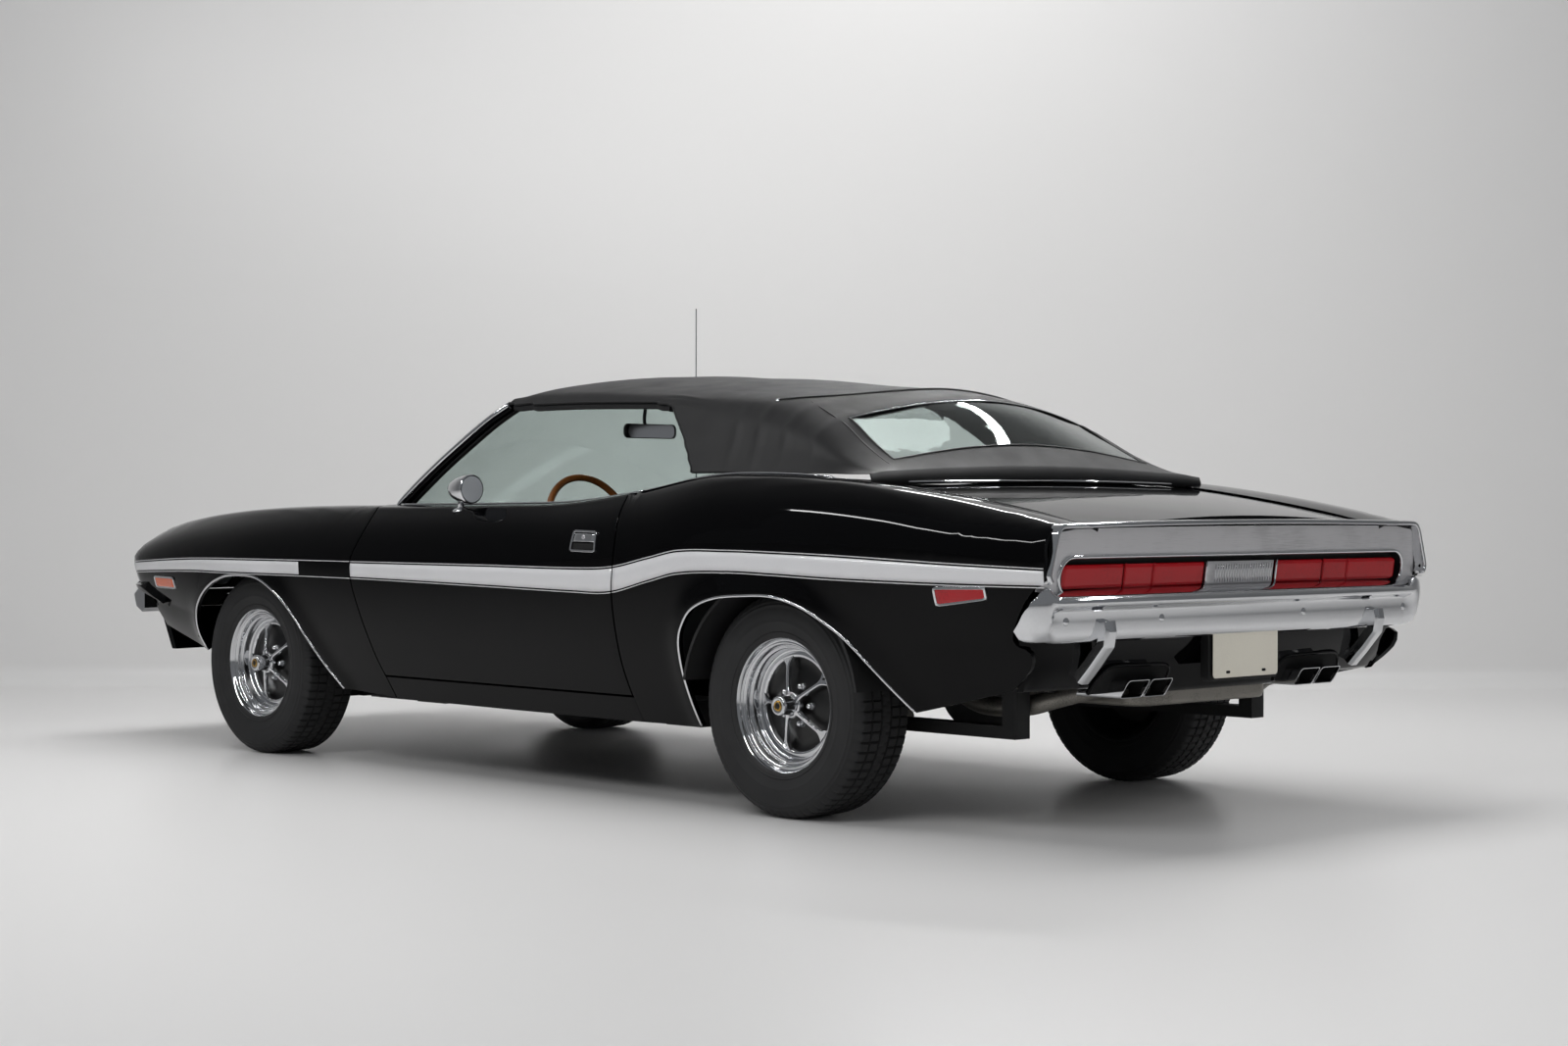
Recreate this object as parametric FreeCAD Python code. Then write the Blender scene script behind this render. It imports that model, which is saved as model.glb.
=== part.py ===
import FreeCAD, Part
import math
import os

Vector = FreeCAD.Vector
os.makedirs("parts", exist_ok=True)

# The whole car. X points forward, Y to the left, Z up, and the origin is on the ground below the
# middle of the car's box.
overall_length = 4859.0
overall_width = 1933.0
hip_height = 1016.0
wheelbase = 2794.0
front_overhang = 1003.0
front_track = 1516.0
rear_track = 1542.0

# Panels and gaps
panel_gap = 6.0
skin = 24.0
fit_gap = 0.3
overrun = 60.0
trim_thickness = 6.0
sheet_thickness = 5.0
glass_thickness = 6.0
fabric_thickness = 12.0

# Wheels
tyre_diameter = 663.0
tyre_width = 235.0
rim_diameter = 380.0
flange_diameter = 415.0
rim_width = 198.0
rim_wall = 7.0
spoke_count = 5
spoke_width = 26.0
spoke_depth = 15.0
spoke_inset = 62.0
fork_spread = 46.0
hub_diameter = 150.0
cap_diameter = 72.0
cap_length = 46.0
drum_diameter = 284.0
drum_width = 60.0
stud_circle = 114.0
stud_count = 5
stud_diameter = 20.0
spindle_diameter = 34.0

# Doors, hood and deck lid
door_depth = 118.0
door_bottom_height = 324.0
door_lap = 34.0
door_hinge_lap = 112.0
lid_thickness = 26.0
hood_rear_x = 888.0
hood_nose_x = 2318.0
cowl_rear_x = 640.0
deck_front_x = -1742.0
deck_rear_x = -2384.0
lid_half_width = 664.0

# Seats, wheel and dash
seat_width = 500.0
seat_gap = 260.0
wheel_rim_diameter = 380.0
wheel_rim_section = 24.0
column_tilt = 20.0
column_diameter = 50.0
column_length = 330.0
driver_y = 375.0

# Chassis
rail_width = 56.0
rail_height = 92.0
rail_inner_y = 376.0
axle_tube_diameter = 78.0
differential_diameter = 250.0
spring_width = 62.0
spring_y = 556.0
pipe_diameter = 57.0
exhaust_y = 520.0
kingpin_y = 668.0
kingpin_diameter = 44.0
kingpin_height = 230.0
engine_length = 640.0
engine_width = 540.0
engine_height = 420.0

# Lamps, plate and aerial
headlamp_diameter = 126.0
headlamp_depth = 60.0
plate_width = 305.0
plate_height = 152.0
plate_thickness = 4.0
aerial_height = 1683.0
aerial_diameter = 5.0
aerial_foot_diameter = 34.0
mirror_diameter = 98.0
mirror_length = 118.0

half_length = overall_length / 2
half_width = overall_width / 2
tyre_radius = tyre_diameter / 2
front_axle_x = half_length - front_overhang
rear_axle_x = front_axle_x - wheelbase
hub_height = tyre_radius
column_slope = math.radians(column_tilt)

# Side of the body. Each row is a station: x, shoulder y and z, waist y and z, low y, sill y and z,
# as shares of the half length, the half width and the hip height.
side_shares = (
    (-0.992, 0.843, 0.852, 0.957, 0.787, 0.900, 0.869, 0.408),
    (-0.885, 0.864, 0.901, 0.981, 0.795, 0.921, 0.874, 0.379),
    (-0.761, 0.879, 0.947, 0.993, 0.805, 0.947, 0.879, 0.325),
    (-0.638, 0.885, 0.979, 1.000, 0.812, 0.962, 0.879, 0.276),
    (-0.515, 0.882, 0.994, 1.000, 0.813, 0.962, 0.879, 0.251),
    (-0.412, 0.882, 0.989, 1.000, 0.799, 0.957, 0.879, 0.241),
    (-0.288, 0.890, 0.945, 0.993, 0.753, 0.952, 0.879, 0.239),
    (-0.144, 0.890, 0.911, 0.988, 0.730, 0.947, 0.877, 0.239),
    (0.000, 0.890, 0.904, 0.986, 0.724, 0.944, 0.874, 0.239),
    (0.144, 0.888, 0.900, 0.986, 0.721, 0.944, 0.874, 0.241),
    (0.288, 0.882, 0.898, 0.985, 0.720, 0.942, 0.871, 0.246),
    (0.432, 0.869, 0.896, 0.983, 0.720, 0.936, 0.869, 0.258),
    (0.587, 0.854, 0.886, 0.977, 0.720, 0.931, 0.864, 0.281),
    (0.720, 0.833, 0.866, 0.962, 0.717, 0.911, 0.843, 0.335),
    (0.823, 0.812, 0.839, 0.944, 0.711, 0.885, 0.828, 0.394),
    (0.906, 0.786, 0.803, 0.919, 0.701, 0.864, 0.812, 0.443),
    (0.947, 0.765, 0.766, 0.893, 0.693, 0.840, 0.792, 0.468),
    (0.972, 0.732, 0.728, 0.838, 0.672, 0.795, 0.752, 0.482),
)
# How the upper side swells between waist and shoulder, and the lower side between waist and sill
upper_linear_share = 0.25
upper_curve_share = 0.75
upper_curve_power = 2.6
low_level_share = 0.38
lower_linear_share = 0.15
lower_curve_share = 0.85
foot_linear_share = 0.6
foot_curve_share = 0.4
shoulder_drop = 14.0
crown_inset = 46.0
flange_drop = 12.0
flange_y_shares = ((-0.992, 0.690), (-0.720, 0.700), (-0.600, 0.735), (-0.300, 0.775), (0.288, 0.724), (0.972, 0.640))

# Shut lines of the door, seen from the side: x and z as shares of the half length and hip height
door_front_shares = (
    (0.283, 0.960), (0.272, 0.880), (0.270, 0.830), (0.278, 0.775), (0.291, 0.715), (0.293, 0.650),
    (0.278, 0.530), (0.258, 0.390), (0.243, 0.290), (0.238, 0.200),
)
door_rear_shares = (
    (-0.268, 1.030), (-0.283, 0.900), (-0.292, 0.800), (-0.290, 0.720), (-0.285, 0.640), (-0.285, 0.540),
    (-0.288, 0.430), (-0.296, 0.310), (-0.302, 0.200),
)

# Wheel openings: points from the front foot over the top to the rear foot, about the hub, as shares
# of the tyre's radius
front_arch_shares = (
    (1.16, -0.20), (1.215, 0.10), (1.232, 0.29), (1.145, 0.511), (0.940, 0.695), (0.665, 0.849),
    (0.380, 0.940), (0.095, 0.976), (-0.354, 0.961), (-0.686, 0.828), (-0.961, 0.623), (-1.199, 0.333),
    (-1.389, 0.107), (-1.648, -0.200), (-1.90, -0.50),
)
rear_arch_shares = (
    (1.06, -0.40), (1.11, -0.05), (1.139, 0.30), (1.130, 0.523), (1.057, 0.680), (0.897, 0.835), (0.600, 0.935),
    (0.207, 0.970), (-0.167, 0.970), (-0.523, 0.885), (-0.849, 0.725), (-1.045, 0.584), (-1.308, 0.324),
    (-1.576, 0.040), (-2.00, -0.42),
)


def lx(share):
    """Length along the car for a share of its half length."""
    return share * half_length


def wy(share):
    """Length across the car for a share of its half width."""
    return share * half_width


def hz(share):
    """Height above the ground for a share of the hip height."""
    return share * hip_height


def spot(x_share, y_share, z_share):
    """Point from shares of the half length, half width and hip height."""
    return Vector(lx(x_share), wy(y_share), hz(z_share))


def follow(table, x, column):
    """Value of one column of a share table at the share x, on a smooth curve through its rows."""
    last = len(table) - 1
    x = min(max(x, table[0][0]), table[last][0])
    index = 0
    while index < last - 1 and x > table[index + 1][0]:
        index += 1
    x0, x1 = table[index][0], table[index + 1][0]
    v0, v1 = table[index][column], table[index + 1][column]
    chord = (v1 - v0) / (x1 - x0)
    slopes = []
    for near in (index, index + 1):
        if near in (0, last):
            slopes.append(chord)
        else:
            before, after = table[near - 1], table[near + 1]
            slopes.append((after[column] - before[column]) / (after[0] - before[0]))
    t = (x - x0) / (x1 - x0)
    run = x1 - x0
    rise = 3 * t * t - 2 * t * t * t
    start_bend = t * (1 - t) ** 2
    end_bend = t * t * (t - 1)
    return v0 + (v1 - v0) * rise + run * (slopes[0] * start_bend + slopes[1] * end_bend)


def station(x):
    """Sizes of the side at x: shoulder y and z, waist y and z, low y, sill y and z."""
    share = x / half_length
    values = [follow(side_shares, share, column) for column in range(1, 8)]
    scales = (half_width, hip_height, half_width, hip_height, half_width, half_width, hip_height)
    return [value * scale for value, scale in zip(values, scales)]


def side_y(x, z):
    """Distance of the side's outer face from the middle plane at x and z."""
    shoulder_y, shoulder_z, waist_y, waist_z, low_y, sill_y, sill_z = station(x)
    if z >= waist_z:
        t = min(1.0, (z - waist_z) / (shoulder_z - waist_z))
        swell = upper_linear_share * t + upper_curve_share * t ** upper_curve_power
        return waist_y + (shoulder_y - waist_y) * swell
    low_z = sill_z + low_level_share * (waist_z - sill_z)
    if z >= low_z:
        t = (waist_z - z) / (waist_z - low_z)
        return waist_y + (low_y - waist_y) * (lower_linear_share * t + lower_curve_share * t * t)
    t = min(1.0, (low_z - z) / (low_z - sill_z))
    return low_y + (sill_y - low_y) * (foot_linear_share * t + foot_curve_share * t * t)


def spline(points):
    """Smooth edge through points."""
    curve = Part.BSplineCurve()
    curve.interpolate(points)
    return curve.toShape()


def segment(start, end):
    """Straight edge."""
    return Part.makeLine(start, end)


def loft(wires, ruled=False):
    """Closed solid through closed wires."""
    solid = Part.makeLoft(wires, True, ruled)
    if solid.Volume < 0:
        solid.reverse()
    return solid


def polygon(points):
    """Closed wire of straight edges."""
    return Part.makePolygon(list(points) + [points[0]])


def side_prism(points, y_start, y_end):
    """Solid of a closed outline of x and z points, from one y to another."""
    face = Part.Face(polygon([Vector(x, y_start, z) for x, z in points]))
    return face.extrude(Vector(0, y_end - y_start, 0))


def plan_prism(points, z_start, z_end):
    """Solid of a closed outline of x and y points, from one height to another."""
    face = Part.Face(polygon([Vector(x, y, z_start) for x, y in points]))
    return face.extrude(Vector(0, 0, z_end - z_start))


def front_prism(points, x_start, x_end):
    """Solid of a closed outline of y and z points, from one x to another."""
    face = Part.Face(polygon([Vector(x_start, y, z) for y, z in points]))
    return face.extrude(Vector(x_end - x_start, 0, 0))


def block(x_start, x_end, y_start, y_end, z_start, z_end):
    """Box between two corners."""
    size = (abs(x_end - x_start), abs(y_end - y_start), abs(z_end - z_start))
    corner = Vector(min(x_start, x_end), min(y_start, y_end), min(z_start, z_end))
    return Part.makeBox(*size, corner)


def rod(start, end, diameter):
    """Round bar from one point to another."""
    way = end - start
    return Part.makeCylinder(diameter / 2, way.Length, start, way)


def other_side(shape):
    """Mirror image on the other side of the car."""
    return shape.mirror(Vector(0, 0, 0), Vector(0, 1, 0))


def both_sides(shape):
    """The shape and its mirror image."""
    return [shape, other_side(shape)]


def fuse(shapes):
    """One shape from several that meet."""
    joined = shapes[0].fuse(shapes[1:])
    return joined.removeSplitter()


def solids_of(shape):
    """The solids of a shape, without its empty wrappers."""
    return [solid for solid in shape.Solids]


def save(name, shapes):
    """Write one node from one shape or a list of shapes that don't touch."""
    if not isinstance(shapes, list):
        shapes = [shapes]
    solids = []
    for shape in shapes:
        solids.extend(solids_of(shape))
    out = solids[0] if len(solids) == 1 else Part.makeCompound(solids)
    out.exportStep("parts/" + name + ".step")


def save_pair(name, shapes):
    """Write a left node and its mirrored right node."""
    if not isinstance(shapes, list):
        shapes = [shapes]
    save(name + "_left", shapes)
    save(name + "_right", [other_side(shape) for shape in shapes])


# Side panels

def side_section(x, depth, flange_y, inner_y=None, inset=0.0):
    """Closed wire of the side's wall at x. An inner y makes the wall's inside a flat upright face."""
    shoulder_y, shoulder_z, waist_y, waist_z, low_y, sill_y, sill_z = station(x)
    upper_levels = [shoulder_z - shoulder_drop]
    upper_levels += [waist_z + (shoulder_z - waist_z) * share for share in (0.66, 0.33)]
    lower_levels = [waist_z + (sill_z - waist_z) * share for share in (0.3, 0.62, 0.82)]
    flange_z = shoulder_z - flange_drop
    upper = [Vector(x, flange_y, flange_z), Vector(x, shoulder_y - crown_inset, shoulder_z)]
    upper += [Vector(x, side_y(x, z), z) for z in upper_levels]
    upper.append(Vector(x, waist_y, waist_z))
    lower = [Vector(x, waist_y, waist_z)]
    lower += [Vector(x, side_y(x, z), z) for z in lower_levels]
    lower.append(Vector(x, sill_y, sill_z))
    if inset:
        upper = [point - Vector(0, inset if point.y > flange_y else 0, inset) for point in upper]
        lower = [point - Vector(0, inset, inset) for point in lower]
    if inner_y is None:
        inner_lower = [point - Vector(0, depth, 0) for point in reversed(lower)]
        inner_upper = [Vector(x, waist_y - depth, waist_z)]
        inner_upper += [Vector(x, side_y(x, z) - depth, z - depth / 2) for z in reversed(upper_levels)]
        inner_upper.append(Vector(x, flange_y, flange_z - depth))
    else:
        inner_lower = [Vector(x, inner_y, point.z) for point in reversed(lower)]
        top_z = flange_z - depth - inset
        middle_z = (waist_z + top_z) / 2
        inner_upper = [Vector(x, inner_y, waist_z - inset), Vector(x, inner_y, middle_z), Vector(x, inner_y, top_z)]
    edges = [spline(upper), spline(lower), segment(lower[-1], inner_lower[0]), spline(inner_lower)]
    edges += [spline(inner_upper), segment(inner_upper[-1], upper[0])]
    return Part.Wire(edges)


def side_wall(x_start, x_end, depth, inner_y=None, inset=0.0):
    """Solid of the side's wall between two stations, through the table's stations between them."""
    inner = [lx(row[0]) for row in side_shares if x_start + overrun < lx(row[0]) < x_end - overrun]
    wires = []
    for x in [x_start] + inner + [x_end]:
        flange_y = wy(follow(flange_y_shares, x / half_length, 1)) if inner_y is None else inner_y
        wires.append(side_section(x, depth, flange_y, inner_y, inset))
    return loft(wires)


def shut_line(shares, shift):
    """Points of a shut line from top to bottom, moved along the car."""
    return [(lx(x) + shift, hz(z)) for x, z in shares]


def smooth_outline(points, closing):
    """Face seen from the side, of a smooth line closed by straight edges through more points."""
    line = [Vector(x, 0, z) for x, z in points]
    rest = [Vector(x, 0, z) for x, z in closing]
    edges = [spline(line)]
    corners = [line[-1]] + rest + [line[0]]
    edges += [segment(a, b) for a, b in zip(corners, corners[1:])]
    return Part.Face(Part.Wire(edges))


def through_side(face):
    """Cutter from a side outline, right through the left side of the body."""
    moved = face.copy()
    moved.translate(Vector(0, wy(0.25), 0))
    return moved.extrude(Vector(0, half_width, 0))


def behind_line(shares, shift):
    """Cutter that takes all behind a shut line."""
    points = shut_line(shares, shift)
    far = -half_length * 1.2
    above = hip_height * 1.2
    closing = [(points[-1][0], 0), (far, 0), (far, above), (points[0][0], above)]
    return through_side(smooth_outline(points, closing))


def door_cutter(front_shift, rear_shift, bottom_z):
    """Cutter in the outline of the door, with its edges moved by the given shifts."""
    front = [Vector(x, 0, z) for x, z in shut_line(door_front_shares, front_shift)]
    rear = [Vector(x, 0, z) for x, z in shut_line(door_rear_shares, rear_shift)]
    front_edge = spline(front)
    rear_edge = spline(rear)
    top = segment(front[0], rear[0])
    bottom = segment(front[-1], rear[-1])
    tall = through_side(Part.Face(Part.Wire([front_edge, bottom, rear_edge, top])))
    room = block(-half_length, half_length, wy(0.2), wy(1.4), bottom_z, hip_height * 1.1)
    return tall.common(room)


def arch_cutter(shares, axle_x):
    """Cutter in the shape of a wheel opening."""
    points = [(axle_x + x * tyre_radius, hub_height + z * tyre_radius) for x, z in shares]
    below = -overrun
    return through_side(smooth_outline(points, [(points[-1][0], below), (points[0][0], below)]))


side_front_x = lx(0.972)
side_rear_x = lx(-0.992)
fender_rear_x = lx(0.20)
quarter_front_x = lx(0.300)
door_inner_y = half_width - door_depth - wy(0.108)
half_gap = panel_gap / 2

front_arch = arch_cutter(front_arch_shares, front_axle_x)
rear_arch = arch_cutter(rear_arch_shares, rear_axle_x)

fender = side_wall(fender_rear_x, side_front_x, skin)
fender = fender.cut(behind_line(door_front_shares, half_gap))
fender = fender.cut(front_arch)
nose_cut_shares = ((0.892, 0.200), (0.898, 0.440), (0.912, 0.597), (1.050, 0.597), (1.050, 0.200))
fender = fender.cut(side_prism([(lx(x), hz(z)) for x, z in nose_cut_shares], wy(0.4), wy(1.1)))
save_pair("front_fender", fender)

quarter = side_wall(side_rear_x, quarter_front_x, skin)
quarter = quarter.cut(door_cutter(overrun, -half_gap, door_bottom_height - half_gap))
quarter = quarter.common(behind_line(door_front_shares, -half_gap))
quarter = quarter.cut(rear_arch)
tail_cut_shares = (
    (-0.915, 0.300), (-0.925, 0.420), (-0.938, 0.545), (-0.930, 0.562), (-0.914, 0.640), (-0.928, 0.692), (-1.050, 0.692),
    (-1.050, 0.300),
)
tail_cutter = side_prism([(lx(x), hz(z)) for x, z in tail_cut_shares], wy(0.5), wy(1.1))
quarter = quarter.cut(tail_cutter)
save_pair("quarter_panel", quarter)

door_start = lx(-0.34)
door_end = lx(0.33)
door_room = door_cutter(-half_gap, half_gap, door_bottom_height + half_gap)
door_core = door_cutter(-door_hinge_lap, door_lap, door_bottom_height + half_gap + door_lap / 2)
door_wall = side_wall(door_start, door_end, skin, door_inner_y)
lap_cutter = side_wall(door_start, door_end, skin, door_inner_y - overrun, skin).cut(door_core)
flange_cutter = block(lx(0.18), lx(0.32), door_inner_y - overrun, wy(0.862), hz(0.75), hz(1.1)).cut(door_core)
door = door_wall.common(door_room).cut(lap_cutter).cut(flange_cutter)
save_pair("door", door)


# Hood, cowl, deck and the panel between them

def top_level(x, y):
    """Height of the body's top skin between the fenders."""
    shoulder_z = station(x)[1]
    share = x / half_length
    rise = follow(top_rise_shares, share, 1) * hip_height
    edge = wy(follow(flange_y_shares, share, 1))
    return shoulder_z - flange_drop + rise * (1 - (y / edge) ** 2)


top_rise_shares = ((-0.992, 0.032), (-0.80, 0.016), (-0.60, 0.008), (0.30, 0.010), (0.60, 0.012), (0.972, 0.016))


def top_section(x, half, depth):
    """Closed wire of a top panel at x."""
    across = (-1.0, -0.66, -0.33, 0.0, 0.33, 0.66, 1.0)
    upper = [Vector(x, half * share, top_level(x, half * share)) for share in across]
    lower = [point - Vector(0, 0, depth) for point in reversed(upper)]
    edges = [spline(upper), segment(upper[-1], lower[0]), spline(lower), segment(lower[-1], upper[0])]
    return Part.Wire(edges)


def top_panel(x_start, x_end, depth, gap):
    """Solid of a top panel between two stations, with a gap on each side to the side panels."""
    inner = [lx(row[0]) for row in side_shares if x_start + overrun < lx(row[0]) < x_end - overrun]
    wires = []
    for x in [x_start] + inner + [x_end]:
        half = wy(follow(flange_y_shares, x / half_length, 1)) - gap
        wires.append(top_section(x, half, depth))
    return loft(wires)


def ledge_below(x_edge, x_under):
    """Ledge that a lid's edge rests on, from under the lid to the fixed panel beside it."""
    ledge = top_panel(min(x_edge, x_under), max(x_edge, x_under), sheet_thickness * 2, panel_gap)
    ledge.translate(Vector(0, 0, -lid_thickness - fit_gap))
    return ledge


lid_side_gap = 8.0
ledge_reach = 22.0
hood = top_panel(hood_rear_x, hood_nose_x, lid_thickness, lid_side_gap)
bulge_half = wy(0.33)
bulge_height = 12.0
bulge = top_panel(hood_rear_x + overrun, lx(0.86), lid_thickness - bulge_height, lid_side_gap)
bulge.translate(Vector(0, 0, bulge_height))
bulge = bulge.common(block(0, half_length, -bulge_half, bulge_half, 0, hip_height * 1.2))
save("hood", fuse([hood, bulge]))

fixed_depth = lid_thickness + sheet_thickness
cowl = top_panel(cowl_rear_x, hood_rear_x - panel_gap, fixed_depth, fit_gap)
cowl = fuse([cowl, ledge_below(hood_rear_x - ledge_reach, hood_rear_x + ledge_reach)])
cowl = cowl.cut(fender).cut(other_side(fender))

deck_panel = top_panel(deck_front_x + panel_gap, lx(-0.600), fixed_depth, fit_gap)
deck_panel = fuse([deck_panel, ledge_below(deck_front_x - ledge_reach, deck_front_x + ledge_reach)])
save("rear_deck_panel", deck_panel.cut(quarter).cut(other_side(quarter)))

deck_lid = top_panel(deck_rear_x, deck_front_x, lid_thickness, lid_side_gap)
save("deck_lid", deck_lid)


# Tail: the panel, its lamps, the bumper with its guards, the valance and the plate

tail_x = lx(-0.972)
tail_top_shares = (-0.9785, 0.846)
tail_low_shares = (-0.970, 0.676)
tail_half = wy(0.950)
tail_depth = 30.0
lamp_outer_y = wy(0.815)
lamp_inner_y = wy(0.168)
lamp_top_z = hz(0.750)
lamp_low_z = hz(0.680)
lamp_depth = 26.0


def tail_prism(z_low, z_high, depth, half, lead=0.0):
    """Slab that follows the tail's lean between two heights, with its outer face moved out by lead."""
    x_top, z_top = lx(tail_top_shares[0]), hz(tail_top_shares[1])
    x_low, z_bottom = lx(tail_low_shares[0]), hz(tail_low_shares[1])
    slope = (x_top - x_low) / (z_top - z_bottom)
    top_x = x_low + slope * (z_high - z_bottom) - lead
    low_x = x_low + slope * (z_low - z_bottom) - lead
    points = [(top_x, z_high), (low_x, z_low), (low_x + depth, z_low), (top_x + depth, z_high)]
    return side_prism(points, -half, half)


tail_panel = tail_prism(hz(0.668), hz(0.850), tail_depth, tail_half)
lamp_room = tail_prism(lamp_low_z, lamp_top_z, lamp_depth, lamp_outer_y, fit_gap)
lid_room = top_panel(-half_length, deck_front_x, lid_thickness + lid_side_gap + overrun, panel_gap)
lid_room.translate(Vector(0, 0, overrun))
tail_outline_shares = (
    (0.0, 0.66), (0.95, 0.66), (0.95, 0.78), (0.80, 0.812), (0.66, 0.816), (0.55, 0.86), (0.0, 0.90),
)
tail_outline = [(wy(y), hz(z)) for y, z in tail_outline_shares]
tail_outline += [(-y, z) for y, z in reversed(tail_outline[1:-1])]
tail_panel = tail_panel.common(front_prism(tail_outline, -half_length, 0)).cut(lamp_room).cut(lid_room)
tail_panel = tail_panel.cut(quarter).cut(other_side(quarter))
save("tail_panel", tail_panel)
lamps = tail_prism(lamp_low_z + fit_gap, lamp_top_z - fit_gap, tail_depth, lamp_outer_y - fit_gap, -fit_gap)
lamps = lamps.common(lamp_room)
save("tail_lamps", lamps)

bumper_half = wy(0.957)
bumper_shares = ((-0.9915, 0.683), (-1.0000, 0.655), (-0.9915, 0.600), (-0.976, 0.545), (-0.970, 0.555), (-0.974, 0.655))
bumper_bow = 22.0


def bumper_section(y, shares, bow, half):
    """Closed wire of a bumper's section at y, set back towards its ends."""
    back = bow * (y / half) ** 2
    sign = 1 if shares[0][0] < 0 else -1
    return polygon([Vector(lx(x) + sign * back, y, hz(z)) for x, z in shares])


def bumper_bar(shares, bow, half, count=9):
    """Bumper lofted across the car."""
    places = [-half + 2 * half * index / (count - 1) for index in range(count)]
    return loft([bumper_section(y, shares, bow, half) for y in places], ruled=True)


rear_bumper = bumper_bar(bumper_shares, bumper_bow, bumper_half)
bumper_end_length = 300.0
end_points = [(lx(-0.985), hz(0.683)), (lx(-0.975), hz(0.555)), (lx(-0.935), hz(0.575)), (lx(-0.920), hz(0.640))]
bumper_end = side_prism(end_points, bumper_half - skin, bumper_half)
guard_shares = ((-0.9985, 0.575), (-0.9565, 0.428), (-0.946, 0.434), (-0.970, 0.590))
guard_y = wy(0.66)
guard_width = 44.0
guard_points = [(lx(x), hz(z)) for x, z in guard_shares]
guard = side_prism(guard_points, guard_y - guard_width / 2, guard_y + guard_width / 2)
plate_low_z = hz(0.423)
plate_x = lx(-0.9815)
plate_margin = 10.0
plate_room = block(
    -half_length, plate_x + overrun, -plate_width / 2 - plate_margin, plate_width / 2 + plate_margin, plate_low_z,
    plate_low_z + plate_height + plate_margin,
)
rear_bumper = fuse([rear_bumper] + both_sides(bumper_end) + both_sides(guard)).cut(plate_room)

valance_shares = ((-0.9698, 0.655), (-0.9698, 0.553), (-0.950, 0.400), (-0.938, 0.400), (-0.958, 0.553), (-0.962, 0.655))
valance_half = wy(0.84)
valance = bumper_bar(valance_shares, bumper_bow * (valance_half / bumper_half) ** 2, valance_half)
save("rear_valance", valance)
save("rear_bumper", rear_bumper.cut(valance).cut(tail_panel))
plate = block(plate_x, plate_x + plate_thickness, -plate_width / 2, plate_width / 2, plate_low_z, plate_low_z + plate_height)
plate_bracket = block(plate_x + plate_thickness, lx(-0.955), -plate_width / 4, plate_width / 4, hz(0.45), hz(0.50))
save("licence_plate", fuse([plate, plate_bracket]).cut(valance))


# Nose: grille, headlamps, bumper and valance

nose_bow = 92.0
grille_shares = ((0.962, 0.700), (0.958, 0.570), (0.946, 0.570), (0.950, 0.700))
grille_half = wy(0.76)
grille = bumper_bar(grille_shares, nose_bow / 2, grille_half, 7)
lamp_z = hz(0.635)
lamp_ys = (wy(0.66), wy(0.49))
headlamps = []
for y in lamp_ys:
    start = Vector(lx(0.930), y, lamp_z)
    headlamps.append(Part.makeCylinder(headlamp_diameter / 2, headlamp_depth, start, Vector(1, 0, 0)))
headlamp_set = headlamps + [other_side(lamp) for lamp in headlamps]
for lamp in headlamp_set:
    grille = grille.cut(lamp)
save("grille", grille)
save("headlamps", headlamp_set)

front_bumper_shares = ((0.985, 0.578), (1.0000, 0.552), (0.993, 0.505), (0.975, 0.485), (0.968, 0.500), (0.968, 0.566))
front_bumper_half = wy(0.870)
front_bumper = bumper_bar(front_bumper_shares, nose_bow, front_bumper_half)
bracket_shares = ((0.895, 0.360), (0.895, 0.420), (0.960, 0.550), (0.975, 0.550), (0.975, 0.510), (0.950, 0.490))
bracket_y = rail_inner_y + rail_width / 2
bracket_width = 40.0
bracket_points = [(lx(x), hz(z)) for x, z in bracket_shares]
bumper_bracket = side_prism(bracket_points, bracket_y - bracket_width / 2, bracket_y + bracket_width / 2)
front_bumper = fuse([front_bumper] + both_sides(bumper_bracket))
front_valance_shares = ((0.966, 0.500), (0.930, 0.345), (0.918, 0.345), (0.950, 0.500))
front_valance = bumper_bar(front_valance_shares, nose_bow, wy(0.80))
save("front_bumper", front_bumper.cut(front_valance))
save("front_valance", front_valance)
nose_panel_shares = ((0.944, 0.713), (0.966, 0.713), (0.966, 0.700), (0.944, 0.700))
nose_panel = bumper_bar(nose_panel_shares, 0.0, wy(0.63))
save("nose_panel", nose_panel)


# Windshield, its frame, and the soft top with its rear window

pillar_shares = ((0.262, 0.800, 0.880), (0.206, 0.775, 1.010), (0.152, 0.735, 1.120), (0.095, 0.640, 1.232))
pillar_width = 46.0
pillar_depth = 34.0
header_depth = 44.0
header_height = 30.0


def bar_section(centre, forward, up, width, height):
    """Rectangle about a centre, on two directions."""
    corners = []
    for a, b in ((-1, -1), (1, -1), (1, 1), (-1, 1)):
        corners.append(centre + forward * (a * width / 2) + up * (b * height / 2))
    return polygon(corners)


def bar_along(points, side, width, height):
    """Bar lofted through points, its section square to the way and one edge along a direction."""
    wires = []
    for index, point in enumerate(points):
        before = points[max(0, index - 1)]
        after = points[min(len(points) - 1, index + 1)]
        way = (after - before).normalize()
        up = way.cross(side).normalize()
        across = up.cross(way).normalize()
        wires.append(bar_section(point, across, up, width, height))
    return loft(wires, ruled=True)


pillar = bar_along([spot(*row) for row in pillar_shares], Vector(0, 1, 0), pillar_depth, pillar_width)
header_shares = ((0.095, 0.660, 1.232), (0.110, 0.45, 1.252), (0.122, 0.22, 1.266), (0.126, 0.0, 1.270))
left_header = [spot(*row) for row in header_shares]
right_header = [Vector(point.x, -point.y, point.z) for point in reversed(left_header[:-1])]
header = bar_along(left_header + right_header, Vector(1, 0, 0), header_depth, header_height)
windshield_frame = fuse([header] + both_sides(pillar))

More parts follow.
